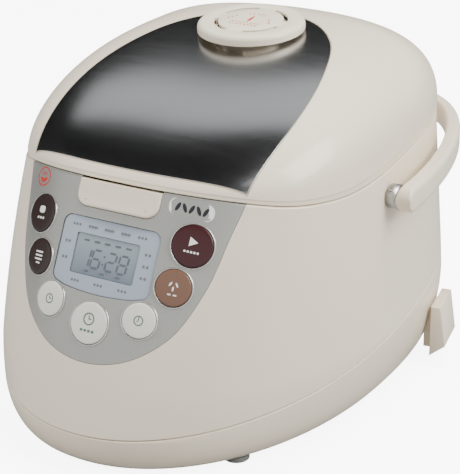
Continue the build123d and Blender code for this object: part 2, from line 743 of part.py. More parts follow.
with BuildPart() as upper_deck:
    with BuildSketch(Plane.XY.offset(DECK_Z - DECK_THICKNESS)):
        with BuildLine():
            Spline(*plan_points(DECK_Z, WALL + EDGE_GAP), periodic=True)
        make_face()
    extrude(amount=DECK_THICKNESS)
    with BuildSketch(pot_place.offset(DECK_Z - DECK_THICKNESS)):
        Circle(POT_RADIUS + DECK_CLEARANCE)
    extrude(amount=DECK_THICKNESS, mode=Mode.SUBTRACT)
    # slot for the latch hook, open to the front for the release button's travel
    with BuildSketch(Plane.XY.offset(DECK_Z - DECK_THICKNESS)):
        with Locations((0, (hook_y + HOOK_SLOT - FAR) / 2)):
            Rectangle(2 * RELEASE_HALF_WIDTH + 6, FAR + hook_y + HOOK_SLOT)
    extrude(amount=DECK_THICKNESS, mode=Mode.SUBTRACT)
save(upper_deck.part, "upper_deck")

with BuildPart() as heat_shield:
    with BuildSketch(pot_place.offset(SHIELD_FLOOR_Z)):
        Circle(SHIELD_RADIUS + SHIELD_WALL)
    extrude(amount=DECK_Z - DECK_THICKNESS - SHIELD_FLOOR_Z)
    with BuildSketch(pot_place.offset(SHIELD_FLOOR_Z + SHIELD_WALL)):
        Circle(SHIELD_RADIUS)
    extrude(amount=DECK_Z, mode=Mode.SUBTRACT)
    with BuildSketch(pot_place.offset(SHIELD_FLOOR_Z)):
        Circle(SENSOR_RADIUS + 4)
    extrude(amount=SHIELD_WALL, mode=Mode.SUBTRACT)
save(heat_shield.part, "heat_shield")

with BuildPart() as shield_posts:
    with BuildSketch(pot_place.offset(FOOT_HEIGHT + WALL)):
        with PolarLocations(70, 3):
            Circle(6)
    extrude(amount=SHIELD_FLOOR_Z - FOOT_HEIGHT - WALL)
save(shield_posts.part, "shield_posts")

pot_bottom = DECK_Z + POT_FLANGE - POT_DEPTH
with BuildPart() as inner_pot:
    with BuildSketch(pot_place.offset(pot_bottom)):
        Circle(POT_RADIUS)
    extrude(amount=POT_DEPTH)
    fillet(inner_pot.edges().group_by(Axis.Z)[0], POT_CORNER)
    with BuildSketch(pot_place.offset(DECK_Z)):
        Circle(POT_FLANGE_RADIUS)
    extrude(amount=POT_FLANGE)
    with BuildPart(mode=Mode.PRIVATE) as pot_hollow:
        with BuildSketch(pot_place.offset(pot_bottom + POT_WALL)):
            Circle(POT_RADIUS - POT_WALL)
        extrude(amount=POT_DEPTH)
        fillet(pot_hollow.edges().group_by(Axis.Z)[0], POT_CORNER - POT_WALL)
    add(pot_hollow.part, mode=Mode.SUBTRACT)
    fillet(inner_pot.edges().filter_by(GeomType.CIRCLE).group_by(SortBy.RADIUS)[-1], 0.8)
save(inner_pot.part, "inner_pot")

with BuildPart() as heating_plate:
    with BuildSketch(pot_place.offset(pot_bottom - HEATER_THICKNESS)):
        Circle(HEATER_RADIUS - 6)
    extrude(amount=HEATER_THICKNESS)
    with BuildSketch(pot_place.offset(pot_bottom - HEATER_THICKNESS + 2)):
        Circle(HEATER_RADIUS - 2)
    extrude(amount=HEATER_THICKNESS - 2)
    with BuildSketch(pot_place.offset(pot_bottom - HEATER_THICKNESS)):
        Circle(SENSOR_RADIUS + 1.0)
    extrude(amount=HEATER_THICKNESS, mode=Mode.SUBTRACT)
    # legs that stand on the heat shield's floor
    with BuildSketch(pot_place.offset(SHIELD_FLOOR_Z + SHIELD_WALL)):
        with PolarLocations(66, 3):
            Circle(5)
    extrude(amount=pot_bottom - HEATER_THICKNESS - SHIELD_FLOOR_Z - SHIELD_WALL)
save(heating_plate.part, "heating_plate")

sensor_top = pot_bottom - FIT
with BuildPart() as temperature_sensor:
    with BuildSketch(pot_place.offset(sensor_top - SENSOR_HEIGHT)):
        Circle(SENSOR_RADIUS)
    extrude(amount=SENSOR_HEIGHT)
    fillet(temperature_sensor.edges().group_by(Axis.Z)[-1], 2)
    with BuildSketch(pot_place.offset(sensor_top - SENSOR_HEIGHT - 6)):
        Circle(5)
    extrude(amount=6)
save(temperature_sensor.part, "temperature_sensor")

spring_top = sensor_top - SENSOR_HEIGHT - 6 - FIT - SENSOR_STROKE
spring_low = FOOT_HEIGHT + WALL + 1.0
SPRING_PITCH = 3.6
with BuildPart() as sensor_spring:
    with BuildLine():
        coil = Helix(pitch=SPRING_PITCH, height=spring_top - spring_low, radius=8, center=(0, POT_Y, spring_low))
    with BuildSketch(Plane(origin=coil @ 0, z_dir=coil % 0)):
        Circle(0.6)
    sweep(is_frenet=True)
save(sensor_spring.part, "sensor_spring")

with BuildPart() as band_heater:
    with BuildSketch(pot_place.offset(BAND_HEATER_Z)):
        Circle(SHIELD_RADIUS + SHIELD_WALL + BAND_HEATER_THICKNESS)
        Circle(SHIELD_RADIUS + SHIELD_WALL + TOUCH, mode=Mode.SUBTRACT)
    extrude(amount=BAND_HEATER_HEIGHT)
save(band_heater.part, "band_heater")

# ------------------------------------------------------------------ power board and mains inlet
with BuildPart() as power_board:
    with BuildSketch(Plane.XY.offset(FOOT_HEIGHT + WALL + BOARD_POST_HEIGHT)):
        with Locations((0, POWER_BOARD_Y)):
            Rectangle(*POWER_BOARD)
    extrude(amount=BOARD_THICKNESS)
    with BuildSketch(Plane.XY.offset(FOOT_HEIGHT + WALL + BOARD_POST_HEIGHT + BOARD_THICKNESS)):
        with Locations((-26, POWER_BOARD_Y + 2)):
            Rectangle(22, 28)
        with Locations((6, POWER_BOARD_Y - 4)):
            Rectangle(18, 20)
        with Locations((30, POWER_BOARD_Y + 4)):
            Circle(8)
    extrude(amount=15)
save(power_board.part, "power_board")

with BuildPart() as board_posts:
    with BuildSketch(Plane.XY.offset(FOOT_HEIGHT + WALL)):
        with Locations((0, POWER_BOARD_Y)):
            with GridLocations(2 * BOARD_POST_X, BOARD_POST_SPAN, 2, 2):
                Circle(BOARD_POST_RADIUS)
    extrude(amount=BOARD_POST_HEIGHT)
save(board_posts.part, "board_posts")

with BuildPart() as inlet_socket:
    with BuildSketch(Plane.XZ.offset(-inlet_face)):
        with Locations((0, INLET_Z)):
            RectangleRounded(INLET_WIDTH + 9, INLET_HEIGHT + 7, 3)
    extrude(amount=INLET_FLANGE)
    with BuildSketch(Plane.XZ.offset(-inlet_face)):
        with Locations((0, INLET_Z)):
            Rectangle(INLET_WIDTH, INLET_HEIGHT)
    extrude(amount=INLET_DEPTH)
    with BuildSketch(Plane.XZ.offset(-inlet_face)):
        with Locations((0, INLET_Z)):
            RectangleRounded(INLET_WIDTH - 5, INLET_HEIGHT - 5, 2)
    extrude(amount=INLET_DEPTH - 2.5, mode=Mode.SUBTRACT)
save(inlet_socket.part, "inlet_socket")

with BuildPart() as inlet_pins:
    with BuildSketch(Plane.XZ.offset(-(inlet_face - 6))):
        with Locations((-7, INLET_Z + 2), (7, INLET_Z + 2), (0, INLET_Z - 3)):
            Circle(INLET_PIN_RADIUS)
    extrude(amount=INLET_DEPTH - 2.5 - 6)
save(inlet_pins.part, "inlet_pins")

# ------------------------------------------------------------------ hinge
with BuildPart() as hinge_block:
    with BuildSketch(Plane.YZ):
        with Locations((HINGE_Y, HINGE_Z)):
            Circle(HINGE_RADIUS)
        with Locations((HINGE_Y, (HINGE_Z + DECK_Z) / 2)):
            Rectangle(2 * HINGE_RADIUS, HINGE_Z - DECK_Z)
    extrude(amount=HINGE_BLOCK_HALF, both=True)
    with BuildSketch(Plane.XY.offset(DECK_Z)):
        with BuildLine():
            Spline(*plan_points(DECK_Z + 10, WALL + EDGE_GAP), periodic=True)
        make_face()
    extrude(amount=60, mode=Mode.INTERSECT)
    # the rounded top fills the notch in the lid
    add(hinge_rod(HINGE_RADIUS, HINGE_BLOCK_HALF))
    with BuildSketch(Plane.YZ):
        with Locations((HINGE_Y, HINGE_Z)):
            Circle(HINGE_PIN_RADIUS + 0.01)
    extrude(amount=HINGE_BLOCK_HALF, both=True, mode=Mode.SUBTRACT)
    with BuildSketch(Plane.YZ):
        with Locations((HINGE_Y - 3, HINGE_Z)):
            Rectangle(2 * HINGE_RADIUS, 2 * HINGE_RADIUS - 6)
    extrude(amount=HINGE_SPRING_HALF, both=True, mode=Mode.SUBTRACT)
save(hinge_block.part, "hinge_block")

hinge_end = HINGE_BLOCK_HALF + FIT + HINGE_ARM_WIDTH
with BuildPart() as hinge_pin:
    add(hinge_rod(HINGE_PIN_RADIUS, hinge_end + 1.0))
save(hinge_pin.part, "hinge_pin")

with BuildPart() as hinge_spring:
    with BuildLine():
        coil = Helix(
            pitch=3.0,
            height=2 * HINGE_SPRING_HALF - 4,
            radius=HINGE_PIN_RADIUS + 2.0,
            center=(-(HINGE_SPRING_HALF - 2), HINGE_Y, HINGE_Z),
            direction=(1, 0, 0),
        )
    with BuildSketch(Plane(origin=coil @ 0, z_dir=coil % 0)):
        Circle(0.8)
    sweep(is_frenet=True)
save(hinge_spring.part, "hinge_spring")

arm_radius = HINGE_RADIUS - 1.5
with BuildPart() as hinge_arms:
    for side in (-1, 1):
        with BuildSketch(Plane.YZ.offset(side * (HINGE_BLOCK_HALF + FIT))):
            with Locations((HINGE_Y, HINGE_Z)):
                Circle(arm_radius)
            with BuildLine():
                Polyline(
                    (HINGE_Y, HINGE_Z - arm_radius + 7),
                    (HINGE_Y, HINGE_Z + arm_radius),
                    (HINGE_Y - 46, HINGE_Z + 6),
                    (HINGE_Y - 46, LID_SEAM_REAR_Z + 2 + LINER_THICKNESS),
                    (HINGE_Y - 18, LID_SEAM_REAR_Z + 2 + LINER_THICKNESS),
                    close=True,
                )
            make_face()
            with Locations((HINGE_Y, HINGE_Z)):
                Circle(HINGE_PIN_RADIUS + RUNNING, mode=Mode.SUBTRACT)
        extrude(amount=side * HINGE_ARM_WIDTH)
save(hinge_arms.part, "hinge_arms")

# ------------------------------------------------------------------ lid
notch_half = hinge_end + HINGE_NOTCH_GAP
with BuildPart() as lid_notch:
    with BuildSketch(Plane.YZ):
        with Locations((HINGE_Y, HINGE_Z)):
            Circle(HINGE_RADIUS + 1.2)
        with Locations((HINGE_Y + 15, HINGE_Z - 15)):
            Rectangle(2 * (HINGE_RADIUS + 1.2 + 7), 30)
    extrude(amount=notch_half, both=True)

vent_hole = round_block(VENT_PLANE, VENT_CUP_RADIUS + 0.2, -12, 12)

with BuildPart() as lid_shell:
    add(outer)
    add(above_seam, mode=Mode.INTERSECT)
    add(cavity, mode=Mode.SUBTRACT)
    with BuildPart(mode=Mode.PRIVATE) as plate_recess:
        add(envelope(-2.0))
        add(plate_block(0.0), mode=Mode.INTERSECT)
        add(plate_bed, mode=Mode.SUBTRACT)
    add(plate_recess.part, mode=Mode.SUBTRACT)
    add(lid_notch.part, mode=Mode.SUBTRACT)
    add(vent_hole, mode=Mode.SUBTRACT)
save(lid_shell.part, "lid_shell")

with BuildPart() as steel_plate:
    add(outer)
    add(plate_block(PLATE_GAP), mode=Mode.INTERSECT)
    add(plate_bed, mode=Mode.SUBTRACT)
    add(above_seam, mode=Mode.INTERSECT)
    add(vent_hole, mode=Mode.SUBTRACT)
save(steel_plate.part, "steel_plate")

with BuildPart() as lid_liner:
    with BuildSketch(Plane.XY.offset(DECK_Z)):
        with BuildLine():
            Spline(*plan_points(LID_SEAM_REAR_Z + 5, WALL + 2 * EDGE_GAP), periodic=True)
        make_face()
    extrude(amount=40, both=True)
    add(seam_band(1.0, 1.0 + LINER_THICKNESS), mode=Mode.INTERSECT)
    add(lid_notch.part, mode=Mode.SUBTRACT)
    add(round_block(VENT_PLANE, VENT_CUP_RADIUS + 0.2, -90, 0), mode=Mode.SUBTRACT)
save(lid_liner.part, "lid_liner")

inner_lid_z = DECK_Z + POT_FLANGE + INNER_LID_GAP
with BuildPart() as inner_lid:
    with BuildSketch(pot_place.offset(inner_lid_z)):
        Circle(INNER_LID_RADIUS)
    extrude(amount=-INNER_LID_THICKNESS)
    with BuildSketch(pot_place.offset(inner_lid_z - INNER_LID_THICKNESS)):
        with Locations((0, VENT_Y - POT_Y + 2)):
            Circle(6)
        with PolarLocations(70, 6):
            Circle(2.0)
    extrude(amount=INNER_LID_THICKNESS, mode=Mode.SUBTRACT)
save(inner_lid.part, "inner_lid")

gasket_low = DECK_Z + POT_FLANGE + FIT + 0.1
with BuildPart() as pot_gasket:
    with BuildSketch(pot_place.offset(gasket_low)):
        Circle(GASKET_RADIUS)
        Circle(INNER_LID_RADIUS + TOUCH, mode=Mode.SUBTRACT)
    extrude(amount=inner_lid_z - gasket_low)
save(pot_gasket.part, "pot_gasket")

with BuildPart() as inner_lid_knob:
    with BuildSketch(Plane(origin=(0, POT_Y - 45, inner_lid_z - INNER_LID_THICKNESS - 5))):
        Circle(KNOB_RADIUS)
    extrude(amount=5)
save(inner_lid_knob.part, "inner_lid_knob")

with BuildPart() as lid_heater:
    with BuildSketch(Plane(origin=(0, POT_Y, DOME_Z + 10))):
        Circle(LID_HEATER_RADIUS)
        Circle(LID_HEATER_RADIUS - 8, mode=Mode.SUBTRACT)
    extrude(amount=2.5)
save(lid_heater.part, "lid_heater")

with BuildPart() as lid_heater_plate:
    with BuildSketch(Plane(origin=(0, POT_Y, DOME_Z + 8.4))):
        Circle(LID_HEATER_RADIUS + 4)
        with Locations((0, VENT_Y - POT_Y + 5)):
            Circle(VENT_CUP_RADIUS + 4, mode=Mode.SUBTRACT)
    extrude(amount=1.6)
save(lid_heater_plate.part, "lid_heater_plate")

with BuildPart() as lid_sensor:
    with BuildSketch(Plane(origin=(0, POT_Y - 62, DOME_Z + 10))):
        Circle(6)
    extrude(amount=8)
save(lid_sensor.part, "lid_sensor")

catch_y = hook_y + HOOK_REACH + CATCH_GAP
with BuildPart() as lid_catch:
    with BuildSketch(Plane.YZ):
        with BuildLine():
            Polyline(
                (catch_y, HOOK_TIP_Z - 7.5),
                (catch_y + 5, HOOK_TIP_Z - 7.5),
                (catch_y + 5, LID_SEAM[2][1] + EDGE_GAP),
                (catch_y + 2.2, LID_SEAM[2][1] + EDGE_GAP),
                (catch_y + 2.2, HOOK_TIP_Z - 5.5),
                (catch_y, HOOK_TIP_Z - 5.5),
                close=True,
            )
        make_face()
    extrude(amount=HOOK_WIDTH / 2 - 2, both=True)
save(lid_catch.part, "lid_catch")

with BuildPart() as lid_screws:
    for x, y in ((-92, -62), (92, -62), (-92, 98), (92, 98)):
        with BuildSketch(Plane(origin=(x, y, DOME_Z + 12))):
            Circle(SCREW_RADIUS)
        extrude(amount=2)
save(lid_screws.part, "lid_screws")

# ------------------------------------------------------------------ steam vent
cap_low = VENT_CAP_GAP + 0.6
cap_top = cap_low + VENT_CAP_HEIGHT
with BuildPart() as vent_cup:
    with BuildSketch(VENT_PLANE.offset(-VENT_CUP_DEPTH)):
        Circle(VENT_CUP_RADIUS)
    extrude(amount=VENT_CUP_DEPTH - 2.5)
    with BuildSketch(VENT_PLANE.offset(-VENT_CUP_DEPTH + VENT_CUP_WALL)):
        Circle(VENT_CUP_RADIUS - VENT_CUP_WALL)
    extrude(amount=VENT_CUP_DEPTH, mode=Mode.SUBTRACT)
    with BuildSketch(VENT_PLANE.offset(-VENT_CUP_DEPTH)):
        Circle(VENT_PORT_RADIUS)
    extrude(amount=VENT_CUP_WALL, mode=Mode.SUBTRACT)
save(vent_cup.part, "vent_cup")

with BuildPart() as vent_valve:
    with BuildSketch(VENT_PLANE.offset(-VENT_CUP_DEPTH + VENT_CUP_WALL)):
        Circle(VENT_VALVE_RADIUS)
        Circle(VENT_PORT_RADIUS - 1, mode=Mode.SUBTRACT)
    extrude(amount=6)
save(vent_valve.part, "vent_valve")

with BuildPart() as vent_cap:
    with BuildSketch(VENT_PLANE.offset(cap_low)):
        Circle(VENT_CAP_RADIUS)
    extrude(amount=VENT_CAP_HEIGHT)
    rim = vent_cap.edges().filter_by(GeomType.CIRCLE).sort_by(Axis.Z)[-1]
    fillet(rim, VENT_CAP_RADIUS - VENT_CAP_FLAT_RADIUS)
    with BuildSketch(VENT_PLANE.offset(cap_low)):
        Circle(VENT_CAP_RADIUS - VENT_CAP_WALL)
    extrude(amount=VENT_CAP_HEIGHT - VENT_CAP_WALL - 1.6, mode=Mode.SUBTRACT)
    with BuildSketch(VENT_PLANE.offset(cap_top - VENT_CAP_WALL)):
        for turn in (45, 135, 225, 315):
            with PolarLocations(VENT_DISC_RADIUS + VENT_SLOT_WIDTH / 2, 1, start_angle=turn):
                SlotArc(
                    CenterArc((-VENT_DISC_RADIUS - VENT_SLOT_WIDTH / 2, 0), VENT_DISC_RADIUS + VENT_SLOT_WIDTH / 2,
                              -VENT_SLOT_DEGREES / 2, VENT_SLOT_DEGREES),
                    VENT_SLOT_WIDTH,
                )
    extrude(amount=VENT_CAP_WALL + 1, both=True, mode=Mode.SUBTRACT)
    # spigot that drops into the vent cup
    with BuildSketch(VENT_PLANE.offset(cap_top - VENT_CAP_WALL)):
        Circle(VENT_CUP_RADIUS - VENT_CUP_WALL - FIT - TOUCH)
        Circle(VENT_CUP_RADIUS - VENT_CUP_WALL - FIT - TOUCH - VENT_SPIGOT_WALL, mode=Mode.SUBTRACT)
    extrude(amount=-VENT_SPIGOT_LENGTH)
save(vent_cap.part, "vent_cap")

# ------------------------------------------------------------------ carrying handle
def bow_points(side, rear_side):
    """Right half of the handle's plan, outside its middle line by side at the arms and rear_side behind."""
    points = []
    for step in range(HANDLE_STEPS + 1):
        angle = math.pi / 2 * step / HANDLE_STEPS
        c, s = math.cos(angle), math.sin(angle)
        power = mix(HANDLE_SIDE_POWER, HANDLE_REAR_POWER, step / HANDLE_STEPS)
        x = (HANDLE_X + side) * abs(c) ** (2 / power)
        y = (HANDLE_REAR_Y - HANDLE_PIVOT_Y + rear_side) * abs(s) ** (2 / power)
        points.append((x if step < HANDLE_STEPS else 0.0, y))
    return points


with BuildPart() as handle:
    with BuildSketch(HANDLE_PLANE.offset(-HANDLE_HEIGHT / 2)):
        with BuildLine():
            outside = bow_points(HANDLE_THICKNESS / 2, HANDLE_THICKNESS / 2)
            inside = bow_points(-HANDLE_THICKNESS / 2, HANDLE_THICKNESS / 2 - HANDLE_REAR_THICKNESS)
            rounds = [Spline(*outside, tangents=[(0, 1), (-1, 0)]), Spline(*inside, tangents=[(0, 1), (-1, 0)])]
            mirror(rounds[0], about=Plane.YZ)
            mirror(rounds[1], about=Plane.YZ)
            Line(outside[0], inside[0])
            Line((-outside[0][0], 0), (-inside[0][0], 0))
        make_face()
    extrude(amount=HANDLE_HEIGHT)
    for side in (-1, 1):
        with BuildSketch(
            Plane(origin=(side * handle_inner_x, HANDLE_PIVOT_Y, HANDLE_PIVOT_Z), z_dir=(side, 0, 0))
        ):
            Circle(HANDLE_HEIGHT / 2)
        extrude(amount=HANDLE_THICKNESS)
    for side in (-1, 1):
        with BuildSketch(
            Plane(origin=(side * (handle_inner_x - 1), HANDLE_PIVOT_Y, HANDLE_PIVOT_Z), z_dir=(side, 0, 0))
        ):
            Circle(HANDLE_PIN_RADIUS + RUNNING)
        extrude(amount=HANDLE_THICKNESS - HANDLE_SKIN + 1, mode=Mode.SUBTRACT)
save(handle.part, "handle")

with BuildPart() as handle_studs:
    for side in (-1, 1):
        with BuildSketch(
            Plane(origin=(side * (handle_inner_x - 0.5), HANDLE_PIVOT_Y, HANDLE_PIVOT_Z), z_dir=(side, 0, 0))
        ):
            Circle(HANDLE_BOSS_RADIUS)
        extrude(amount=-(handle_inner_x - 0.5 - handle_boss_x - 1.5))
        with BuildSketch(
            Plane(origin=(side * (handle_boss_x - HANDLE_STUD_DEPTH), HANDLE_PIVOT_Y, HANDLE_PIVOT_Z), z_dir=(side, 0, 0))
        ):
            Circle(HANDLE_PIN_RADIUS)
        extrude(amount=handle_inner_x + HANDLE_THICKNESS - HANDLE_SKIN - EDGE_GAP - handle_boss_x + HANDLE_STUD_DEPTH)
save(handle_studs.part, "handle_studs")

# ------------------------------------------------------------------ paddle holder
mouth = HOLDER_HEIGHT - HOLDER_MOUTH_DROP
with BuildPart() as paddle_holder:
    with BuildSketch(Plane(origin=HOLDER_PLANE.origin, x_dir=-HOLDER_PLANE.y_dir, z_dir=HOLDER_PLANE.x_dir)):
        with BuildLine():
            Polyline(
                (RAIL_THICKNESS + HOLDER_GAP, 0),
                (HOLDER_FOOT_DEPTH, 0),
                (HOLDER_DEPTH, mouth),
                (RAIL_THICKNESS + HOLDER_GAP, HOLDER_HEIGHT),
                close=True,
            )
        make_face()
    extrude(amount=HOLDER_WIDTH / 2, both=True)
    with BuildSketch(Plane(origin=HOLDER_PLANE.origin, x_dir=-HOLDER_PLANE.y_dir, z_dir=HOLDER_PLANE.x_dir)):
        with BuildLine():
            Polyline(
                (RAIL_THICKNESS + HOLDER_GAP + HOLDER_WALL, HOLDER_WALL),
                (HOLDER_FOOT_DEPTH - HOLDER_WALL, HOLDER_WALL),
                (HOLDER_DEPTH - HOLDER_WALL, mouth),
                (HOLDER_DEPTH - HOLDER_WALL, HOLDER_HEIGHT + 5),
                (RAIL_THICKNESS + HOLDER_GAP + HOLDER_WALL, HOLDER_HEIGHT + 5),
                close=True,
            )
        make_face()
    extrude(amount=HOLDER_WIDTH / 2 - HOLDER_WALL, both=True, mode=Mode.SUBTRACT)
save(paddle_holder.part, "paddle_holder")

with BuildPart() as holder_rail:
    with BuildSketch(Plane(origin=HOLDER_PLANE.origin, x_dir=-HOLDER_PLANE.y_dir, z_dir=HOLDER_PLANE.x_dir)):
        with BuildLine():
            Polyline((-4, 4), (RAIL_THICKNESS, 4), (RAIL_THICKNESS, HOLDER_HEIGHT - 3),
                     (-4, HOLDER_HEIGHT - 3), close=True)
        make_face()
    extrude(amount=RAIL_WIDTH / 2, both=True)
    add(outer, mode=Mode.SUBTRACT)
save(holder_rail.part, "holder_rail")
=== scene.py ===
"""Rice cooker: visual pieces, finishes, light and camera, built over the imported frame.

Frame: +Z up, the front panel faces -Y, the origin is on the table under the middle of the cooker.
Geometry classes work in millimetres; meshes are made in metres.
"""
from __future__ import annotations

import json
import logging
import math
from dataclasses import dataclass, field
from enum import Enum
from typing import Iterable, Sequence, Union

import bmesh
import bpy
import numpy as np
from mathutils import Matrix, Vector

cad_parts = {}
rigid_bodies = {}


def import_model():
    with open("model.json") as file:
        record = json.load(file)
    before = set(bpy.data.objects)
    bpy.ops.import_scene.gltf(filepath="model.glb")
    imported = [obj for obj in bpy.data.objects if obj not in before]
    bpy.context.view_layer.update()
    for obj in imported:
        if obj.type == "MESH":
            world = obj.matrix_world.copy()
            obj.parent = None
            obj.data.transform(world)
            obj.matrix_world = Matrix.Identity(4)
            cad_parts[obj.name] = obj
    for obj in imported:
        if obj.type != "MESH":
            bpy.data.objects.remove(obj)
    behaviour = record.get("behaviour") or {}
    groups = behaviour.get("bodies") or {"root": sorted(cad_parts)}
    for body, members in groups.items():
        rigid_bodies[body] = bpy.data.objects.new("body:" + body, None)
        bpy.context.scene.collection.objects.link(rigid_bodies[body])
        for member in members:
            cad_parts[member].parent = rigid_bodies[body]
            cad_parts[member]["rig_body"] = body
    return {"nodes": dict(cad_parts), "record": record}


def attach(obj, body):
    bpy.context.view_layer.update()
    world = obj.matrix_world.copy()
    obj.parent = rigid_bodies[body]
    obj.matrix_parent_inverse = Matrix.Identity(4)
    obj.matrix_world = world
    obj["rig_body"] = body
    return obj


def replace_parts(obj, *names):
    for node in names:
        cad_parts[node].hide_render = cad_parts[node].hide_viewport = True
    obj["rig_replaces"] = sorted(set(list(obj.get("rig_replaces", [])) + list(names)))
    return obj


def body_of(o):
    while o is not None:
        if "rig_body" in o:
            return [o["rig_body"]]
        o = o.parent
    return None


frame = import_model()

MM = 0.001
log = logging.getLogger("rice_cooker")

Array = np.ndarray
Faces = list[tuple[int, ...]]
Number = Union[int, float]


# ---------------------------------------------------------------------------------------- node trees
class Tree:
    """A shader or geometry node tree that is filled by script."""

    def __init__(self, tree: bpy.types.NodeTree) -> None:
        """Start from a tree; its nodes are cleared."""
        self.tree = tree
        tree.nodes.clear()

    def node(self, kind: str, settings: dict | None = None, inputs: dict | None = None) -> bpy.types.Node:
        """Add a node.

        Args:
            kind: the node's type.
            settings: attributes set on the node.
            inputs: values or signals by input name or number.

        Returns:
            The new node.
        """
        made = self.tree.nodes.new(kind)
        made.location = (220 * (len(self.tree.nodes) % 12), -180 * (len(self.tree.nodes) // 12))
        for name, value in (settings or {}).items():
            setattr(made, name, value)
        for name, value in (inputs or {}).items():
            self.feed(made.inputs[name], value)
        return made

    def feed(self, socket: bpy.types.NodeSocket, value: object) -> None:
        """Link a signal to a socket, or set the socket's own value."""
        if isinstance(value, Signal):
            self.tree.links.new(value.socket, socket)
        elif isinstance(value, bpy.types.NodeSocket):
            self.tree.links.new(value, socket)
        else:
            socket.default_value = value


@dataclass(frozen=True)
class Signal:
    """One output socket with arithmetic, so that shader maths reads as a formula."""

    tree: Tree
    socket: bpy.types.NodeSocket

    def _math(self, operation: str, *values: Signal | Number) -> Signal:
        """A Math node over the given values."""
        made = self.tree.node("ShaderNodeMath", {"operation": operation}, dict(enumerate(values)))
        return Signal(self.tree, made.outputs[0])

    def __add__(self, other: Signal | Number) -> Signal:
        """Sum with the other operand."""
        return self._math("ADD", self, other)

    def __radd__(self, other: Number) -> Signal:
        """Sum, with the other operand on the left."""
        return self._math("ADD", other, self)

    def __sub__(self, other: Signal | Number) -> Signal:
        """Difference with the other operand."""
        return self._math("SUBTRACT", self, other)

    def __rsub__(self, other: Number) -> Signal:
        """Difference, with the other operand on the left."""
        return self._math("SUBTRACT", other, self)

    def __mul__(self, other: Signal | Number) -> Signal:
        """Product with the other operand."""
        return self._math("MULTIPLY", self, other)

    def __rmul__(self, other: Number) -> Signal:
        """Product, with the other operand on the left."""
        return self._math("MULTIPLY", other, self)

    def __truediv__(self, other: Signal | Number) -> Signal:
        """Quotient with the other operand."""
        return self._math("DIVIDE", self, other)

    def __rtruediv__(self, other: Number) -> Signal:
        """Quotient, with the other operand on the left."""
        return self._math("DIVIDE", other, self)

    def __pow__(self, other: Number) -> Signal:
        """Power with the other operand."""
        return self._math("POWER", self, other)

    def step(self, low: float, high: float) -> Signal:
        """Smooth step from 0 at low to 1 at high."""
        made = self.tree.node(
            "ShaderNodeMapRange",
            {"interpolation_type": "SMOOTHSTEP"},
            {"Value": self, "From Min": low, "From Max": high},
        )
        return Signal(self.tree, made.outputs[0])


@dataclass(frozen=True)
class Colour(Signal):
    """A colour signal: mixing goes through Mix nodes and scaling through Vector Math."""

    def blend(self, other: Sequence[float] | Signal, factor: Signal | Number) -> Colour:
        """This colour, with other mixed over it by factor."""
        made = self.tree.node("ShaderNodeMix", {"data_type": "RGBA"}, {0: factor, 6: self, 7: other})
        return Colour(self.tree, made.outputs[2])

    def __mul__(self, other: Signal | Number) -> Colour:
        """Product with the other operand."""
        made = self.tree.node("ShaderNodeVectorMath", {"operation": "SCALE"}, {0: self, "Scale": other})
        return Colour(self.tree, made.outputs[0])

    def __rmul__(self, other: Number) -> Colour:
        """Product, with the other operand on the left."""
        return self * other


@dataclass(frozen=True)
class Place:
    """Object coordinates of a piece, as the source of every procedural pattern."""

    tree: Tree
    vector: bpy.types.NodeSocket

    @classmethod
    def of(cls, tree: Tree) -> Place:
        """The object coordinates in a material's tree."""
        return cls(tree, tree.node("ShaderNodeTexCoord").outputs["Object"])

    def stretched(self, scale: Sequence[float]) -> Place:
        """The same place with each axis scaled."""
        made = self.tree.node("ShaderNodeMapping", {}, {"Vector": self.vector, "Scale": tuple(scale)})
        return Place(self.tree, made.outputs[0])

    def noise(self, scale: float, detail: float = 2.0) -> Signal:
        """Noise from 0 to 1."""
        made = self.tree.node(
            "ShaderNodeTexNoise", {}, {"Vector": self.vector, "Scale": scale, "Detail": detail}
        )
        return Signal(self.tree, made.outputs[0])

    def axis(self, name: str) -> Signal:
        """One coordinate, X, Y or Z."""
        made = self.tree.node("ShaderNodeSeparateXYZ", {}, {0: self.vector})
        return Signal(self.tree, made.outputs[name])


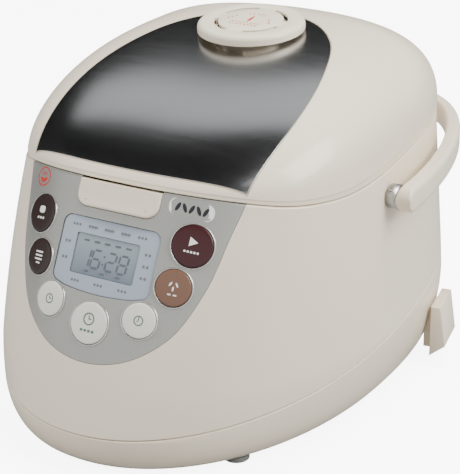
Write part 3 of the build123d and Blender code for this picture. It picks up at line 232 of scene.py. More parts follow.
# ---------------------------------------------------------------------------------------- finishes
@dataclass(frozen=True)
class Finish:
    """A surface: constants set on the sockets, with procedural change where the finish asks for it."""

    name: str
    colour: tuple[float, float, float]
    roughness: float = 0.4
    metallic: float = 0.0
    coat: float = 0.0
    coat_roughness: float = 0.08
    mottle: float = 0.02
    grain: float = 0.0
    grain_scale: float = 900.0

    def material(self) -> bpy.types.Material:
        """The finish's material, made once and then shared."""
        known = bpy.data.materials.get(self.name)
        if known is not None:
            return known
        made = bpy.data.materials.new(self.name)
        made.use_nodes = True
        tree = Tree(made.node_tree)
        surface = tree.node(
            "ShaderNodeBsdfPrincipled",
            {},
            {
                "Base Color": (*self.colour, 1.0),
                "Roughness": self.roughness,
                "Metallic": self.metallic,
                "Coat Weight": self.coat,
                "Coat Roughness": self.coat_roughness,
            },
        )
        self.dress(tree, surface, Place.of(tree))
        tree.node("ShaderNodeOutputMaterial", {}, {"Surface": surface.outputs[0]})
        return made

    def base(self, tree: Tree) -> Colour:
        """The finish's own colour as a signal."""
        made = tree.node("ShaderNodeRGB")
        made.outputs[0].default_value = (*self.colour, 1.0)
        return Colour(tree, made.outputs[0])

    def bump(self, tree: Tree, surface: bpy.types.Node, height: Signal, distance: float) -> None:
        """Drive the surface's normal with a height in the given distance, in metres."""
        made = tree.node("ShaderNodeBump", {}, {"Strength": 0.35, "Distance": distance, "Height": height})
        tree.feed(surface.inputs["Normal"], made.outputs[0])

    def dress(self, tree: Tree, surface: bpy.types.Node, place: Place) -> None:
        """Add the procedural change: a faint cloudiness, and a grain in the surface."""
        cloud = place.noise(14.0, 3.0).step(0.3, 0.7)
        tree.feed(surface.inputs["Base Color"], self.base(tree) * (1.0 - self.mottle * cloud))
        wear = place.noise(60.0, 4.0)
        tree.feed(surface.inputs["Roughness"], self.roughness + 0.06 * (wear - 0.5))
        if self.grain:
            self.bump(tree, surface, place.noise(self.grain_scale, 2.0), self.grain)


@dataclass(frozen=True)
class Brushed(Finish):
    """Sheet metal brushed along one axis."""

    along: tuple[float, float, float] = (4.0, 900.0, 900.0)
    streak: float = 0.16

    def dress(self, tree: Tree, surface: bpy.types.Node, place: Place) -> None:
        """Long fine streaks in the colour, the roughness and the normal."""
        lines = place.stretched(self.along).noise(1.0, 4.0)
        wide = place.stretched(tuple(0.16 * a for a in self.along)).noise(1.0, 2.0)
        both = 0.6 * lines + 0.4 * wide
        tree.feed(surface.inputs["Base Color"], self.base(tree) * (1.0 + self.streak * (both - 0.5)))
        tree.feed(surface.inputs["Roughness"], self.roughness + 0.12 * (both - 0.5))
        self.bump(tree, surface, lines, 0.00001)


@dataclass(frozen=True)
class FlakePaint(Finish):
    """Silver paint with fine bright flakes."""

    flakes: float = 0.12

    def dress(self, tree: Tree, surface: bpy.types.Node, place: Place) -> None:
        """Speckle the colour and the metallic share."""
        speck = place.noise(1600.0, 1.0).step(0.45, 0.7)
        tree.feed(surface.inputs["Base Color"], self.base(tree) * (1.0 + self.flakes * (speck - 0.4)))
        tree.feed(surface.inputs["Metallic"], self.metallic + 0.2 * (speck - 0.5))
        tree.feed(surface.inputs["Roughness"], self.roughness + 0.08 * (place.noise(200.0) - 0.5))


@dataclass(frozen=True)
class Display(Finish):
    """Liquid crystal display behind glass, with a painted reflection: paler towards one corner."""

    # painted reflection: the paler tint that the window turns towards its top
    far: tuple[float, float, float] = (0.27, 0.32, 0.36)

    def dress(self, tree: Tree, surface: bpy.types.Node, place: Place) -> None:
        """Paint a reflection into the colour: paler over the height of the window."""
        # painted reflection: the colour turns paler from low to high on the window
        reflection_share = (place.axis("Z") * (1.0 / MM)).step(112.0, 146.0)
        shade = self.base(tree).blend((*self.far, 1.0), reflection_share)
        tree.feed(surface.inputs["Base Color"], shade * (1.0 - 0.03 * place.noise(120.0)))


class Slot(Enum):
    """The record's material slots and the finish each one is given."""

    shell_plastic = Finish("cream_gloss", (0.82, 0.725, 0.575), 0.30, coat=0.3, mottle=0.012, grain=0.000004)
    base_plastic = Finish("cream_base", (0.80, 0.705, 0.56), 0.33, coat=0.25, mottle=0.015, grain=0.000004)
    vent_plastic = Finish("cream_vent", (0.83, 0.74, 0.59), 0.34, coat=0.2, mottle=0.012)
    brushed_plate = Brushed("brushed_steel", (0.56, 0.57, 0.58), 0.24, metallic=1.0)
    panel_paint = FlakePaint("silver_paint", (0.50, 0.50, 0.47), 0.40, metallic=0.7, coat=0.15)
    key_dark = Finish("key_dark_brown", (0.030, 0.018, 0.015), 0.34, coat=0.2, mottle=0.05)
    key_red = Finish("key_dark_red", (0.045, 0.008, 0.010), 0.34, coat=0.2, mottle=0.05)
    key_brown = Finish("key_brown", (0.036, 0.020, 0.013), 0.34, coat=0.2, mottle=0.05)
    key_light = Finish("key_ivory", (0.74, 0.74, 0.66), 0.34, coat=0.3)
    key_ring = Finish("bright_ring", (0.78, 0.77, 0.74), 0.22, metallic=0.85)
    lcd_frame = Finish("pale_bezel", (0.36, 0.42, 0.49), 0.30, coat=0.5, metallic=0.1)
    lcd_glass = Display("display", (0.13, 0.165, 0.20), 0.16, coat=0.8)
    aluminium = Finish("cast_aluminium", (0.60, 0.61, 0.62), 0.38, metallic=1.0, grain=0.00002)
    pot_coating = Finish("pot_coating", (0.045, 0.045, 0.048), 0.45, mottle=0.15, grain=0.00001)
    silicone = Finish("silicone", (0.62, 0.62, 0.60), 0.55)
    foot_rubber = Finish("foot_rubber", (0.035, 0.035, 0.035), 0.75, mottle=0.1)
    steel = Brushed("turned_steel", (0.55, 0.55, 0.55), 0.32, metallic=1.0, streak=0.1)
    zinc_shield = Finish("zinc_sheet", (0.50, 0.51, 0.52), 0.45, metallic=1.0, mottle=0.1)
    black_plastic = Finish("black_plastic", (0.03, 0.03, 0.03), 0.5, grain=0.00001)
    liner_plastic = Finish("liner_plastic", (0.62, 0.58, 0.50), 0.45)
    board = Finish("circuit_board", (0.05, 0.16, 0.07), 0.5, mottle=0.2)
    brass_pins = Finish("brass", (0.70, 0.52, 0.22), 0.3, metallic=1.0)


class Ink(Enum):
    """Finishes of printed marks that have no slot of their own."""

    black = Finish("ink_black", (0.02, 0.022, 0.025), 0.5)
    segment = Finish("ink_segment", (0.10, 0.13, 0.15), 0.5)
    red = Finish("ink_red", (0.55, 0.035, 0.02), 0.45)
    white = Finish("ink_white", (0.85, 0.85, 0.83), 0.45)
    grey = Finish("ink_grey", (0.16, 0.17, 0.18), 0.5)
    green = Finish("ink_green", (0.10, 0.17, 0.12), 0.5)


# ---------------------------------------------------------------------------------------- the outer form
def between(low: float, high: float, value: Array) -> Array:
    """Share of the way from low to high, kept within 0 and 1."""
    return np.clip((value - low) / (high - low), 0.0, 1.0)


def mix(start: Array | float, end: Array | float, share: Array | float) -> Array:
    """The value share of the way from start to end."""
    return start + (end - start) * share


def arch(rise: Array, power: float) -> Array:
    """Superellipse arch: 1 at the foot, 0 at the top."""
    return (1.0 - rise**power) ** (1.0 / power)


@dataclass(frozen=True)
class Envelope:
    """The cooker's outer form: a two-power plan curve at every height, in millimetres."""

    half_width: float = 135.0
    top_half_width: float = 124.4
    front_reach: float = 199.0
    top_front_reach: float = 135.0
    front_bulge: float = 5.5
    rear_reach: float = 186.0
    top_rear_reach: float = 183.6
    front_power: float = 2.08
    top_front_power: float = 2.66
    rear_power: float = 2.5
    front_widest_z: float = 29.5
    side_widest_z: float = 55.8
    rear_widest_z: float = 80.0
    front_top_z: float = 177.0
    dome_z: float = 172.0
    dome_height: float = 70.0
    apex_y: float = 80.0
    dome_powers: tuple[float, float, float] = (1.68, 3.1, 1.83)
    dome_plan_powers: tuple[float, float] = (3.4, 2.0)
    bottom_round: float = 20.0
    front_bottom_round: float = 15.0
    foot: float = 3.5
    ease: float = 9.0

    @property
    def top(self) -> float:
        """Height of the dome's highest point."""
        return self.dome_z + self.dome_height

    def lean(self, share: Array) -> Array:
        """Front reach, share of the way up the leaning front."""
        return mix(self.front_reach, self.top_front_reach, share) + self.front_bulge * 4 * share * (1 - share)

    def drawn_in(self, z: Array, widest: float, floor: Array | float, radius: float) -> Array:
        """How far the rounded bottom edge is drawn in at a height."""
        rise = 1.0 - between(floor, widest, z)
        return radius * (1.0 - np.sqrt(np.maximum(1.0 - rise * rise, 0.0)))

    def raw_plan(self, z: Array, inset: Array | float) -> Array:
        """Half width, front reach, rear reach, two powers and centre at each height, as six rows."""
        front = between(self.front_widest_z, self.front_top_z, z)
        side = between(self.side_widest_z, self.dome_z, z)
        rear = between(self.rear_widest_z, self.dome_z, z)
        floor = self.foot + inset
        turn = self.bottom_round - 0.5 * inset
        front_turn = self.front_bottom_round - 0.5 * inset
        power = mix(self.front_power, self.top_front_power, front)
        low = np.array([
            mix(self.half_width, self.top_half_width, side)
            - self.drawn_in(z, self.side_widest_z, floor, turn)
            - inset,
            self.lean(front) - self.drawn_in(z, self.front_widest_z, floor, front_turn) - inset,
            mix(self.rear_reach, self.top_rear_reach, rear)
            - self.drawn_in(z, self.rear_widest_z, floor, turn)
            - inset,
            power,
            np.full_like(z, self.rear_power),
            np.zeros_like(z),
        ])
        rise = np.clip((z - self.dome_z) / (self.dome_height - inset), 0.0, 1.0)
        share = between(self.front_widest_z, self.front_top_z, np.array(self.dome_z))
        foot_power = mix(self.front_power, self.top_front_power, share)
        foot_front = self.lean(share) - inset
        front_arch, side_arch, rear_arch = (arch(rise, p) for p in self.dome_powers)
        centre = self.apex_y * rise
        ahead = centre - (self.apex_y - (self.apex_y + foot_front) * front_arch)
        behind = self.apex_y + (self.top_rear_reach - inset - self.apex_y) * rear_arch - centre
        high = np.array([
            (self.top_half_width - inset) * side_arch,
            ahead,
            behind,
            mix(foot_power, self.dome_plan_powers[0], rise),
            mix(self.rear_power, self.dome_plan_powers[1], rise),
            centre,
        ])
        return np.where(z <= self.dome_z, low, high)

    def plan(self, z: Array, inset: Array | float = 0.0) -> Array:
        """The plan numbers with the foot of the dome eased over a few millimetres."""
        z = np.asarray(z, float)
        reach = self.ease * np.clip(1.0 - np.abs(z - self.dome_z) / (2.2 * self.ease), 0.0, 1.0)
        total, weights = 0.0, 0.0
        for step in range(-4, 5):
            weight = 1.0 - (step / 5.0) ** 2
            total = total + weight * self.raw_plan(z + reach * step / 4.0, inset)
            weights += weight
        return total / weights

    def points(self, angle: Array, z: Array, inset: Array | float = 0.0) -> Array:
        """Places on the surface at plan angles and heights, drawn in by inset."""
        half, ahead, behind, front_power, rear_power, centre = self.plan(z, inset)
        c, s = np.cos(angle), np.sin(angle)
        power = np.where(s < 0, front_power, rear_power)
        reach = np.where(s < 0, ahead, behind)
        x = np.sign(c) * half * np.abs(c) ** (2.0 / power)
        y = centre + np.sign(s) * reach * np.abs(s) ** (2.0 / power)
        return np.stack([x, y, np.broadcast_to(z, x.shape)], axis=-1)

    def level(self, p: Array, inset: Array | float = 0.0) -> Array:
        """Zero on the surface, negative inside."""
        x, y, z = p[..., 0], p[..., 1], p[..., 2]
        half, ahead, behind, front_power, rear_power, centre = self.plan(z, inset)
        power = np.where(y < centre, front_power, rear_power)
        reach = np.maximum(np.where(y < centre, ahead, behind), 1e-3)
        return (np.abs(x) / np.maximum(half, 1e-3)) ** power + (np.abs(y - centre) / reach) ** power - 1.0

    def gradient(self, p: Array, inset: float = 0.0) -> Array:
        """Slope of the level at each place."""
        step = 0.04
        return np.stack(
            [
                (self.level(p + step * axis, inset) - self.level(p - step * axis, inset)) / (2 * step)
                for axis in np.eye(3)
            ],
            axis=-1,
        )

    def normals(self, p: Array, inset: float = 0.0) -> Array:
        """Outward unit normals near the surface; straight up at the very top."""
        slope = self.gradient(p, inset)
        size = np.linalg.norm(slope, axis=-1, keepdims=True)
        made = slope / np.maximum(size, 1e-12)
        made[p[..., 2] > self.top - inset - 0.3] = (0.0, 0.0, 1.0)
        return made

    def along(self, start: Array, direction: Array, inset: float = 0.0, reach: float = 70.0) -> Array:
        """Where lines from inside, along an outward direction, leave the surface."""
        low, high = np.full(len(start), -reach), np.full(len(start), reach)
        for _ in range(40):
            middle = (low + high) / 2
            outside = self.level(start + middle[:, None] * direction, inset) > 0
            high, low = np.where(outside, middle, high), np.where(outside, low, middle)
        return start + ((low + high) / 2)[:, None] * direction

    def top_z(self, y: float) -> float:
        """Height of the dome over the middle line."""
        return float(self.along(np.array([[0.0, y, 200.0]]), np.array([0.0, 0.0, 1.0]))[0, 2])


FORM = Envelope()


@dataclass(frozen=True)
class Seams:
    """Where the housing parts meet: a level curve round the lid and an inclined plane at the base."""

    lid: tuple[tuple[float, float], ...] = (
        (-215, 184), (-135, 176.8), (-100, 169), (-60, 165.6), (-20, 166.6),
        (30, 171.5), (80, 175.4), (130, 176),
    )
    gap: float = 0.6
    base_front: tuple[float, float] = (-199.0, 29.0)
    base_rear: tuple[float, float] = (186.0, 80.5)

    def lid_z(self, y: Array) -> Array:
        """Height of the lid seam at a place from front to rear."""
        ys, zs = np.array(self.lid, float).T
        slopes = np.gradient(zs, ys)
        slopes[-1] = 0.0
        y = np.clip(y, ys[0], ys[-1])
        k = np.clip(np.searchsorted(ys, y) - 1, 0, len(ys) - 2)
        width = ys[k + 1] - ys[k]
        t = (y - ys[k]) / width
        return (
            (2 * t**3 - 3 * t**2 + 1) * zs[k]
            + (t**3 - 2 * t**2 + t) * width * slopes[k]
            + (3 * t**2 - 2 * t**3) * zs[k + 1]
            + (t**3 - t**2) * width * slopes[k + 1]
        )

    def base_z(self, y: Array) -> Array:
        """Height of the base seam at a place from front to rear."""
        (y0, z0), (y1, z1) = self.base_front, self.base_rear
        return z0 + (z1 - z0) * (y - y0) / (y1 - y0)

    @staticmethod
    def round(curve, angles: Array, offset: float = 0.0) -> Array:
        """Height at which each column of the surface meets a seam curve."""
        z = np.full(len(angles), 150.0)
        for _ in range(30):
            z = curve(FORM.points(angles, z)[:, 1]) + offset
        return z


SEAMS = Seams()


# ---------------------------------------------------------------------------------------- planes and charts
@dataclass(frozen=True)
class Flat:
    """A plane with its own axes; heights are measured outward."""

    origin: tuple[float, float, float]
    across: tuple[float, float, float]
    up: tuple[float, float, float]

    @property
    def out(self) -> Array:
        """The plane's outward direction."""
        return np.cross(self.across, self.up)

    def at(self, uv: Array, height: Array | float = 0.0) -> Array:
        """Places on the plane, raised by height."""
        uv = np.asarray(uv, float)
        lift = np.broadcast_to(height, uv[..., 0].shape)[..., None]
        return (
            np.array(self.origin) + uv[..., :1] * np.array(self.across) + uv[..., 1:2] * np.array(self.up)
            + lift * self.out
        )

    def raised(self, height: float) -> Flat:
        """A parallel plane further out."""
        return Flat(tuple(self.at(np.zeros(2), height)), self.across, self.up)

    @classmethod
    def leaning(cls, origin: tuple[float, float, float], degrees: float) -> Flat:
        """A plane across the cooker whose outward direction leans forward by degrees from straight up."""
        a = math.radians(degrees)
        return cls(origin, (1.0, 0.0, 0.0), (0.0, math.cos(a), math.sin(a)))

    @classmethod
    def on_front(cls, x: float, z: float) -> Flat:
        """The plane that lies on the front surface at a place, with its up axis up the slope."""
        place = FORM.along(np.array([[x, -100.0, z]]), np.array([0.0, -1.0, 0.0]), reach=120.0)[0]
        out = FORM.normals(place[None])[0]
        across = np.array([1.0, 0.0, 0.0]) - out * out[0]
        across /= np.linalg.norm(across)
        return cls(tuple(place), tuple(across), tuple(np.cross(out, across)))


@dataclass(frozen=True)
class Draped:
    """Flat coordinates laid on the outer form by travelling along a plane's outward direction."""

    plane: Flat

    def at(self, uv: Array, height: Array | float = 0.0) -> Array:
        """Places at height above the outer form; negative heights are under it."""
        uv = np.asarray(uv, float).reshape(-1, 2)
        on = FORM.along(self.plane.at(uv), np.broadcast_to(self.plane.out, (len(uv), 3)))
        return on + np.broadcast_to(height, len(uv))[..., None] * FORM.normals(on)


PANEL = Flat.leaning((0.0, -158.0, 125.0), 90.0 - 28.7)
ON_PANEL = Draped(PANEL)
ON_TOP = Draped(Flat((0.0, 0.0, 205.0), (1.0, 0.0, 0.0), (0.0, 1.0, 0.0)))
VENT = Flat.leaning((0.0, 31.0, FORM.top_z(31.0)), 5.0)


# ---------------------------------------------------------------------------------------- mesh building
def strips(rows: int, columns: int, tube: bool) -> Faces:
    """Quads of a grid whose rows are closed rings; a tube also joins the last row to the first."""
    made = []
    for r in range(rows if tube else rows - 1):
        for c in range(columns):
            d, n = (c + 1) % columns, (r + 1) % rows
            made.append((r * columns + c, r * columns + d, n * columns + d, n * columns + c))
    return made


def capped(rings: Sequence[Array], first: Array, last: Array) -> tuple[Array, Faces]:
    """A closed skin over rings with a pole at each end."""
    columns, count = len(rings[0]), len(rings)
    faces = strips(count, columns, False)
    low, high = count * columns, count * columns + 1
    for c in range(columns):
        d = (c + 1) % columns
        faces.append((low, d, c))
        faces.append((high, (count - 1) * columns + c, (count - 1) * columns + d))
    return np.vstack([*rings, first[None], last[None]]), faces


def smooth_line(points: Sequence[tuple[float, float]], count: int) -> Array:
    """Points along a smooth open line through the given ones, evenly spaced."""
    knots = np.array(points, float)
    length = np.concatenate([[0.0], np.cumsum(np.linalg.norm(np.diff(knots, axis=0), axis=1))])
    slopes = np.gradient(knots, length, axis=0, edge_order=2)
    t = np.linspace(0.0, length[-1], count)
    k = np.clip(np.searchsorted(length, t) - 1, 0, len(length) - 2)
    width = (length[k + 1] - length[k])[:, None]
    s = ((t - length[k])[:, None]) / width
    return (
        (2 * s**3 - 3 * s**2 + 1) * knots[k]
        + (s**3 - 2 * s**2 + s) * width * slopes[k]
        + (3 * s**2 - 2 * s**3) * knots[k + 1]
        + (s**3 - s**2) * width * slopes[k + 1]
    )


def rounded_rectangle(width: float, height: float, radius: float, steps: int = 8) -> Array:
    """Outline of a rectangle with rounded corners about the origin."""
    made = []
    for quarter, (sx, sy) in enumerate(((1, 1), (-1, 1), (-1, -1), (1, -1))):
        for step in range(steps + 1):
            a = math.pi / 2 * (quarter + step / steps)
            made.append((
                sx * (width / 2 - radius) + radius * math.cos(a),
                sy * (height / 2 - radius) + radius * math.sin(a)
            ))
    return np.array(made)


def circle(radius: float, count: int = 48, centre: tuple[float, float] = (0.0, 0.0)) -> Array:
    """Points round a circle."""
    a = np.linspace(0.0, 2 * math.pi, count, endpoint=False)
    return np.stack([centre[0] + radius * np.cos(a), centre[1] + radius * np.sin(a)], axis=1)


def shrunk(outline: Array, by: float) -> Array:
    """An outline drawn in along its own normals."""
    ahead, behind = np.roll(outline, -1, axis=0), np.roll(outline, 1, axis=0)
    along = ahead - behind
    along /= np.maximum(np.linalg.norm(along, axis=1, keepdims=True), 1e-9)
    x, y = outline.T
    area = 0.5 * np.sum(x * np.roll(y, -1) - y * np.roll(x, -1))
    inward = np.stack([-along[:, 1], along[:, 0]], axis=1) * (1.0 if area > 0 else -1.0)
    return outline + by * inward


class Bench:
    """Makes, cuts, smooths and hangs the visual pieces."""

    def __init__(self) -> None:
        """Count the pieces that are made."""
        self.made: list[str] = []

    @staticmethod
    def solid(name: str, points: Array, faces: Faces) -> bpy.types.Object:
        """A linked mesh object from points in millimetres, with its faces turned outward."""
        mesh = bpy.data.meshes.new(name)
        mesh.from_pydata((np.asarray(points) * MM).tolist(), [], faces)
        shape = bmesh.new()
        shape.from_mesh(mesh)
        bmesh.ops.remove_doubles(shape, verts=shape.verts, dist=1e-7)
        bmesh.ops.recalc_face_normals(shape, faces=shape.faces)
        if shape.calc_volume(signed=True) < 0:
            bmesh.ops.reverse_faces(shape, faces=shape.faces)
        shape.to_mesh(mesh)
        shape.free()
        made = bpy.data.objects.new(name, mesh)
        bpy.context.scene.collection.objects.link(made)
        return made

    @staticmethod
    def settle(piece: bpy.types.Object) -> None:
        """Apply the piece's modifiers to its mesh."""
        ready = piece.evaluated_get(bpy.context.evaluated_depsgraph_get())
        mesh = bpy.data.meshes.new_from_object(ready)
        piece.modifiers.clear()
        piece.data = mesh

    def cut(self, piece: bpy.types.Object, *tools: bpy.types.Object, keep: bool = False) -> bpy.types.Object:
        """Cut tools away from the piece, or keep only what is inside each; the tools are used up."""
        for tool in tools:
            change = piece.modifiers.new("cut", "BOOLEAN")
            change.operation = "INTERSECT" if keep else "DIFFERENCE"
            change.solver = "EXACT"
            change.object = tool
            self.settle(piece)
            bpy.data.objects.remove(tool)
        return piece

    @staticmethod
    def soften(piece: bpy.types.Object, degrees: float = 35.0, inset: float | None = None) -> None:
        """Smooth shading up to an angle; with an inset, faces on that skin take the outer form's normals."""
        mesh = piece.data
        mesh.shade_smooth()
        mesh.set_sharp_from_angle(angle=math.radians(degrees))
        if inset is None:
            return
        count = len(mesh.loops)
        corner, owner = np.zeros(count * 3), np.zeros(count, int)
        mesh.corner_normals.foreach_get("vector", corner)
        mesh.loops.foreach_get("vertex_index", owner)
        places = np.zeros(len(mesh.vertices) * 3)
        mesh.vertices.foreach_get("co", places)
        places = places.reshape(-1, 3) / MM
        ideal = FORM.normals(places, inset)
        slope = np.linalg.norm(FORM.gradient(places, inset), axis=1)
        near = np.abs(FORM.level(places, inset)) / np.maximum(slope, 1e-9) < 0.06
        sides = np.zeros(len(mesh.polygons) * 3)
        mesh.polygons.foreach_get("normal", sides)
        sizes = np.zeros(len(mesh.polygons), int)
        mesh.polygons.foreach_get("loop_total", sizes)
        flat = np.repeat(sides.reshape(-1, 3), sizes, axis=0)
        use = near[owner] & (np.einsum("ij,ij->i", flat, ideal[owner]) > 0.6)
        made = np.where(use[:, None], ideal[owner], corner.reshape(-1, 3))
        mesh.normals_split_custom_set(made.tolist())

    def hang(
        self, piece: bpy.types.Object, body: str, finish: Finish, slot: str | None = None,
        replaces: Iterable[str] = (),
    ) -> bpy.types.Object:
        """Give the piece its finish and body, and name the CAD nodes that it stands for."""
        piece.data.materials.clear()
        piece.data.materials.append(finish.material())
        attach(piece, body)
        if replaces:
            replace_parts(piece, *replaces)
        self.made.append(piece.name)
        log.info("piece %s on %s, %d faces", piece.name, body, len(piece.data.polygons))
        return piece

    def prism(self, name: str, outline: Array, plane: Flat, low: float, high: float) -> bpy.types.Object:
        """A straight block with an outline, from low to high over a plane."""
        rings = [plane.at(outline, low), plane.at(outline, high)]
        middle = outline.mean(axis=0)
        return self.solid(name, *capped(rings, plane.at(middle, low), plane.at(middle, high)))

    def lathe(
        self, name: str, plane: Flat, profile: Sequence[tuple[float, float]], count: int = 96
    ) -> bpy.types.Object:
        """A turned shape; the profile is radius and height, and starts and ends on the axis."""
        rings = [plane.at(circle(r, count), h) for r, h in profile[1:-1]]
        first, last = plane.at(np.zeros(2), profile[0][1]), plane.at(np.zeros(2), profile[-1][1])
        return self.solid(name, *capped(rings, first, last))

    def pad(
        self, name: str, chart: Draped | Flat, outline: Array, top: float, bottom: float, roll: float,
        rings: int = 24,
    ) -> bpy.types.Object:
        """A thin solid that follows a chart, with a rolled front edge.

        Args:
            name: the piece's name.
            chart: the surface it lies on.
            outline: its closed edge in the chart's coordinates.
            top: height of its front over the chart.
            bottom: height of its back.
            roll: radius of the front edge.
            rings: number of rings from the middle to the edge.

        Returns:
            The new object.
        """
        middle = (outline.max(axis=0) + outline.min(axis=0)) / 2
        inner = shrunk(outline, roll)
        made = [chart.at(middle + (inner - middle) * s, bottom) for s in np.linspace(0.0, 1.0, rings + 1)[1:]]
        made.append(chart.at(outline, bottom))
        for step in range(5):
            a = math.pi / 2 * step / 4
            made.append(chart.at(shrunk(outline, roll * (1 - math.cos(a))), top - roll * (1 - math.sin(a))))
        made += [chart.at(middle + (inner - middle) * s, top) for s in np.linspace(1.0, 0.0, rings + 1)[1:-1]]
        centre = np.array(middle)[None]
        return self.solid(
            name, *capped(made, chart.at(centre, bottom).reshape(3), chart.at(centre, top).reshape(3))
        )

    def tiles(
        self, name: str, chart: Draped | Flat, shapes: Iterable[Array], top: float, thickness: float = 0.08
    ) -> bpy.types.Object:
        """Small flat marks laid on a chart, as one mesh."""
        points, faces, start = [], [], 0
        for shape in shapes:
            n = len(shape)
            points += [chart.at(shape, top).reshape(-1, 3), chart.at(shape, top - thickness).reshape(-1, 3)]
            faces.append(tuple(range(start, start + n)))
            faces.append(tuple(range(start + 2 * n - 1, start + n - 1, -1)))
            for c in range(n):
                d = (c + 1) % n
                faces.append((start + c, start + n + c, start + n + d, start + d))
            start += 2 * n
        return self.solid(name, np.vstack(points), faces)

    def copied(self, node: str, degrees: float = 30.0) -> bpy.types.Object:
        """A smoothed copy of a CAD node that stands for it."""
        source = frame["nodes"][node]
        made = bpy.data.objects.new(f"vis_{node}", source.data.copy())
        bpy.context.scene.collection.objects.link(made)
        shape = bmesh.new()
        shape.from_mesh(made.data)
        bmesh.ops.remove_doubles(shape, verts=shape.verts, dist=2e-6)
        shape.to_mesh(made.data)
        shape.free()
        self.soften(made, degrees)
        return made


class MarkField:
    """Geometry nodes that set one small shape on many aimed points, baked into a mesh."""

    def __init__(self, bench: Bench) -> None:
        """Build the node group once."""
        self.bench = bench
        self.group = bpy.data.node_groups.new("mark_field", "GeometryNodeTree")
        face = self.group.interface
        face.new_socket("Geometry", in_out="INPUT", socket_type="NodeSocketGeometry")
        self.thick = face.new_socket("Thickness", in_out="INPUT", socket_type="NodeSocketFloat").identifier
        self.sides = face.new_socket("Sides", in_out="INPUT", socket_type="NodeSocketInt").identifier
        self.finish = face.new_socket("Finish", in_out="INPUT", socket_type="NodeSocketMaterial").identifier
        face.new_socket("Geometry", in_out="OUTPUT", socket_type="NodeSocketGeometry")
        tree = Tree(self.group)
        given = tree.node("NodeGroupInput")
        shape = tree.node(
            "GeometryNodeMeshCylinder", {},
            {"Vertices": given.outputs["Sides"], "Radius": 0.5, "Depth": given.outputs["Thickness"]},
        )
        aim = tree.node("GeometryNodeInputNamedAttribute", {"data_type": "FLOAT_VECTOR"}, {"Name": "aim"})
        size = tree.node("GeometryNodeInputNamedAttribute", {"data_type": "FLOAT_VECTOR"}, {"Name": "size"})
        turn = tree.node(
            "FunctionNodeAlignRotationToVector", {"axis": "Z"}, {"Vector": aim.outputs["Attribute"]}
        )
        spread = tree.node(
            "GeometryNodeInstanceOnPoints", {},
            {
                "Points": given.outputs["Geometry"], "Instance": shape.outputs["Mesh"],
                "Rotation": turn.outputs[0], "Scale": size.outputs["Attribute"],
            },
        )
        real = tree.node("GeometryNodeRealizeInstances", {}, {"Geometry": spread.outputs[0]})
        painted = tree.node(
            "GeometryNodeSetMaterial", {}, {"Geometry": real.outputs[0], "Material": given.outputs["Finish"]}
        )
        tree.node("NodeGroupOutput", {}, {"Geometry": painted.outputs[0]})

    def stamp(
        self, name: str, places: Array, aims: Array, sizes: Array, finish: Finish, thickness: float = 0.1,
        sides: int = 20,
    ) -> bpy.types.Object:
        """Set the shape on each place in millimetres, facing its aim and scaled to its size."""
        mesh = bpy.data.meshes.new(name)
        mesh.from_pydata((np.asarray(places) * MM).tolist(), [], [])
        scale = np.asarray(sizes, float) * MM
        scale[:, 2] = 1.0
        for label, values in (("aim", np.asarray(aims, float)), ("size", scale)):
            store = mesh.attributes.new(label, "FLOAT_VECTOR", "POINT")
            store.data.foreach_set("vector", values.ravel())
        made = bpy.data.objects.new(name, mesh)
        bpy.context.scene.collection.objects.link(made)
        spread = made.modifiers.new("marks", "NODES")
        spread.node_group = self.group
        spread[self.thick] = thickness * MM
        spread[self.sides] = sides
        spread[self.finish] = finish.material()
        self.bench.settle(made)
        return made


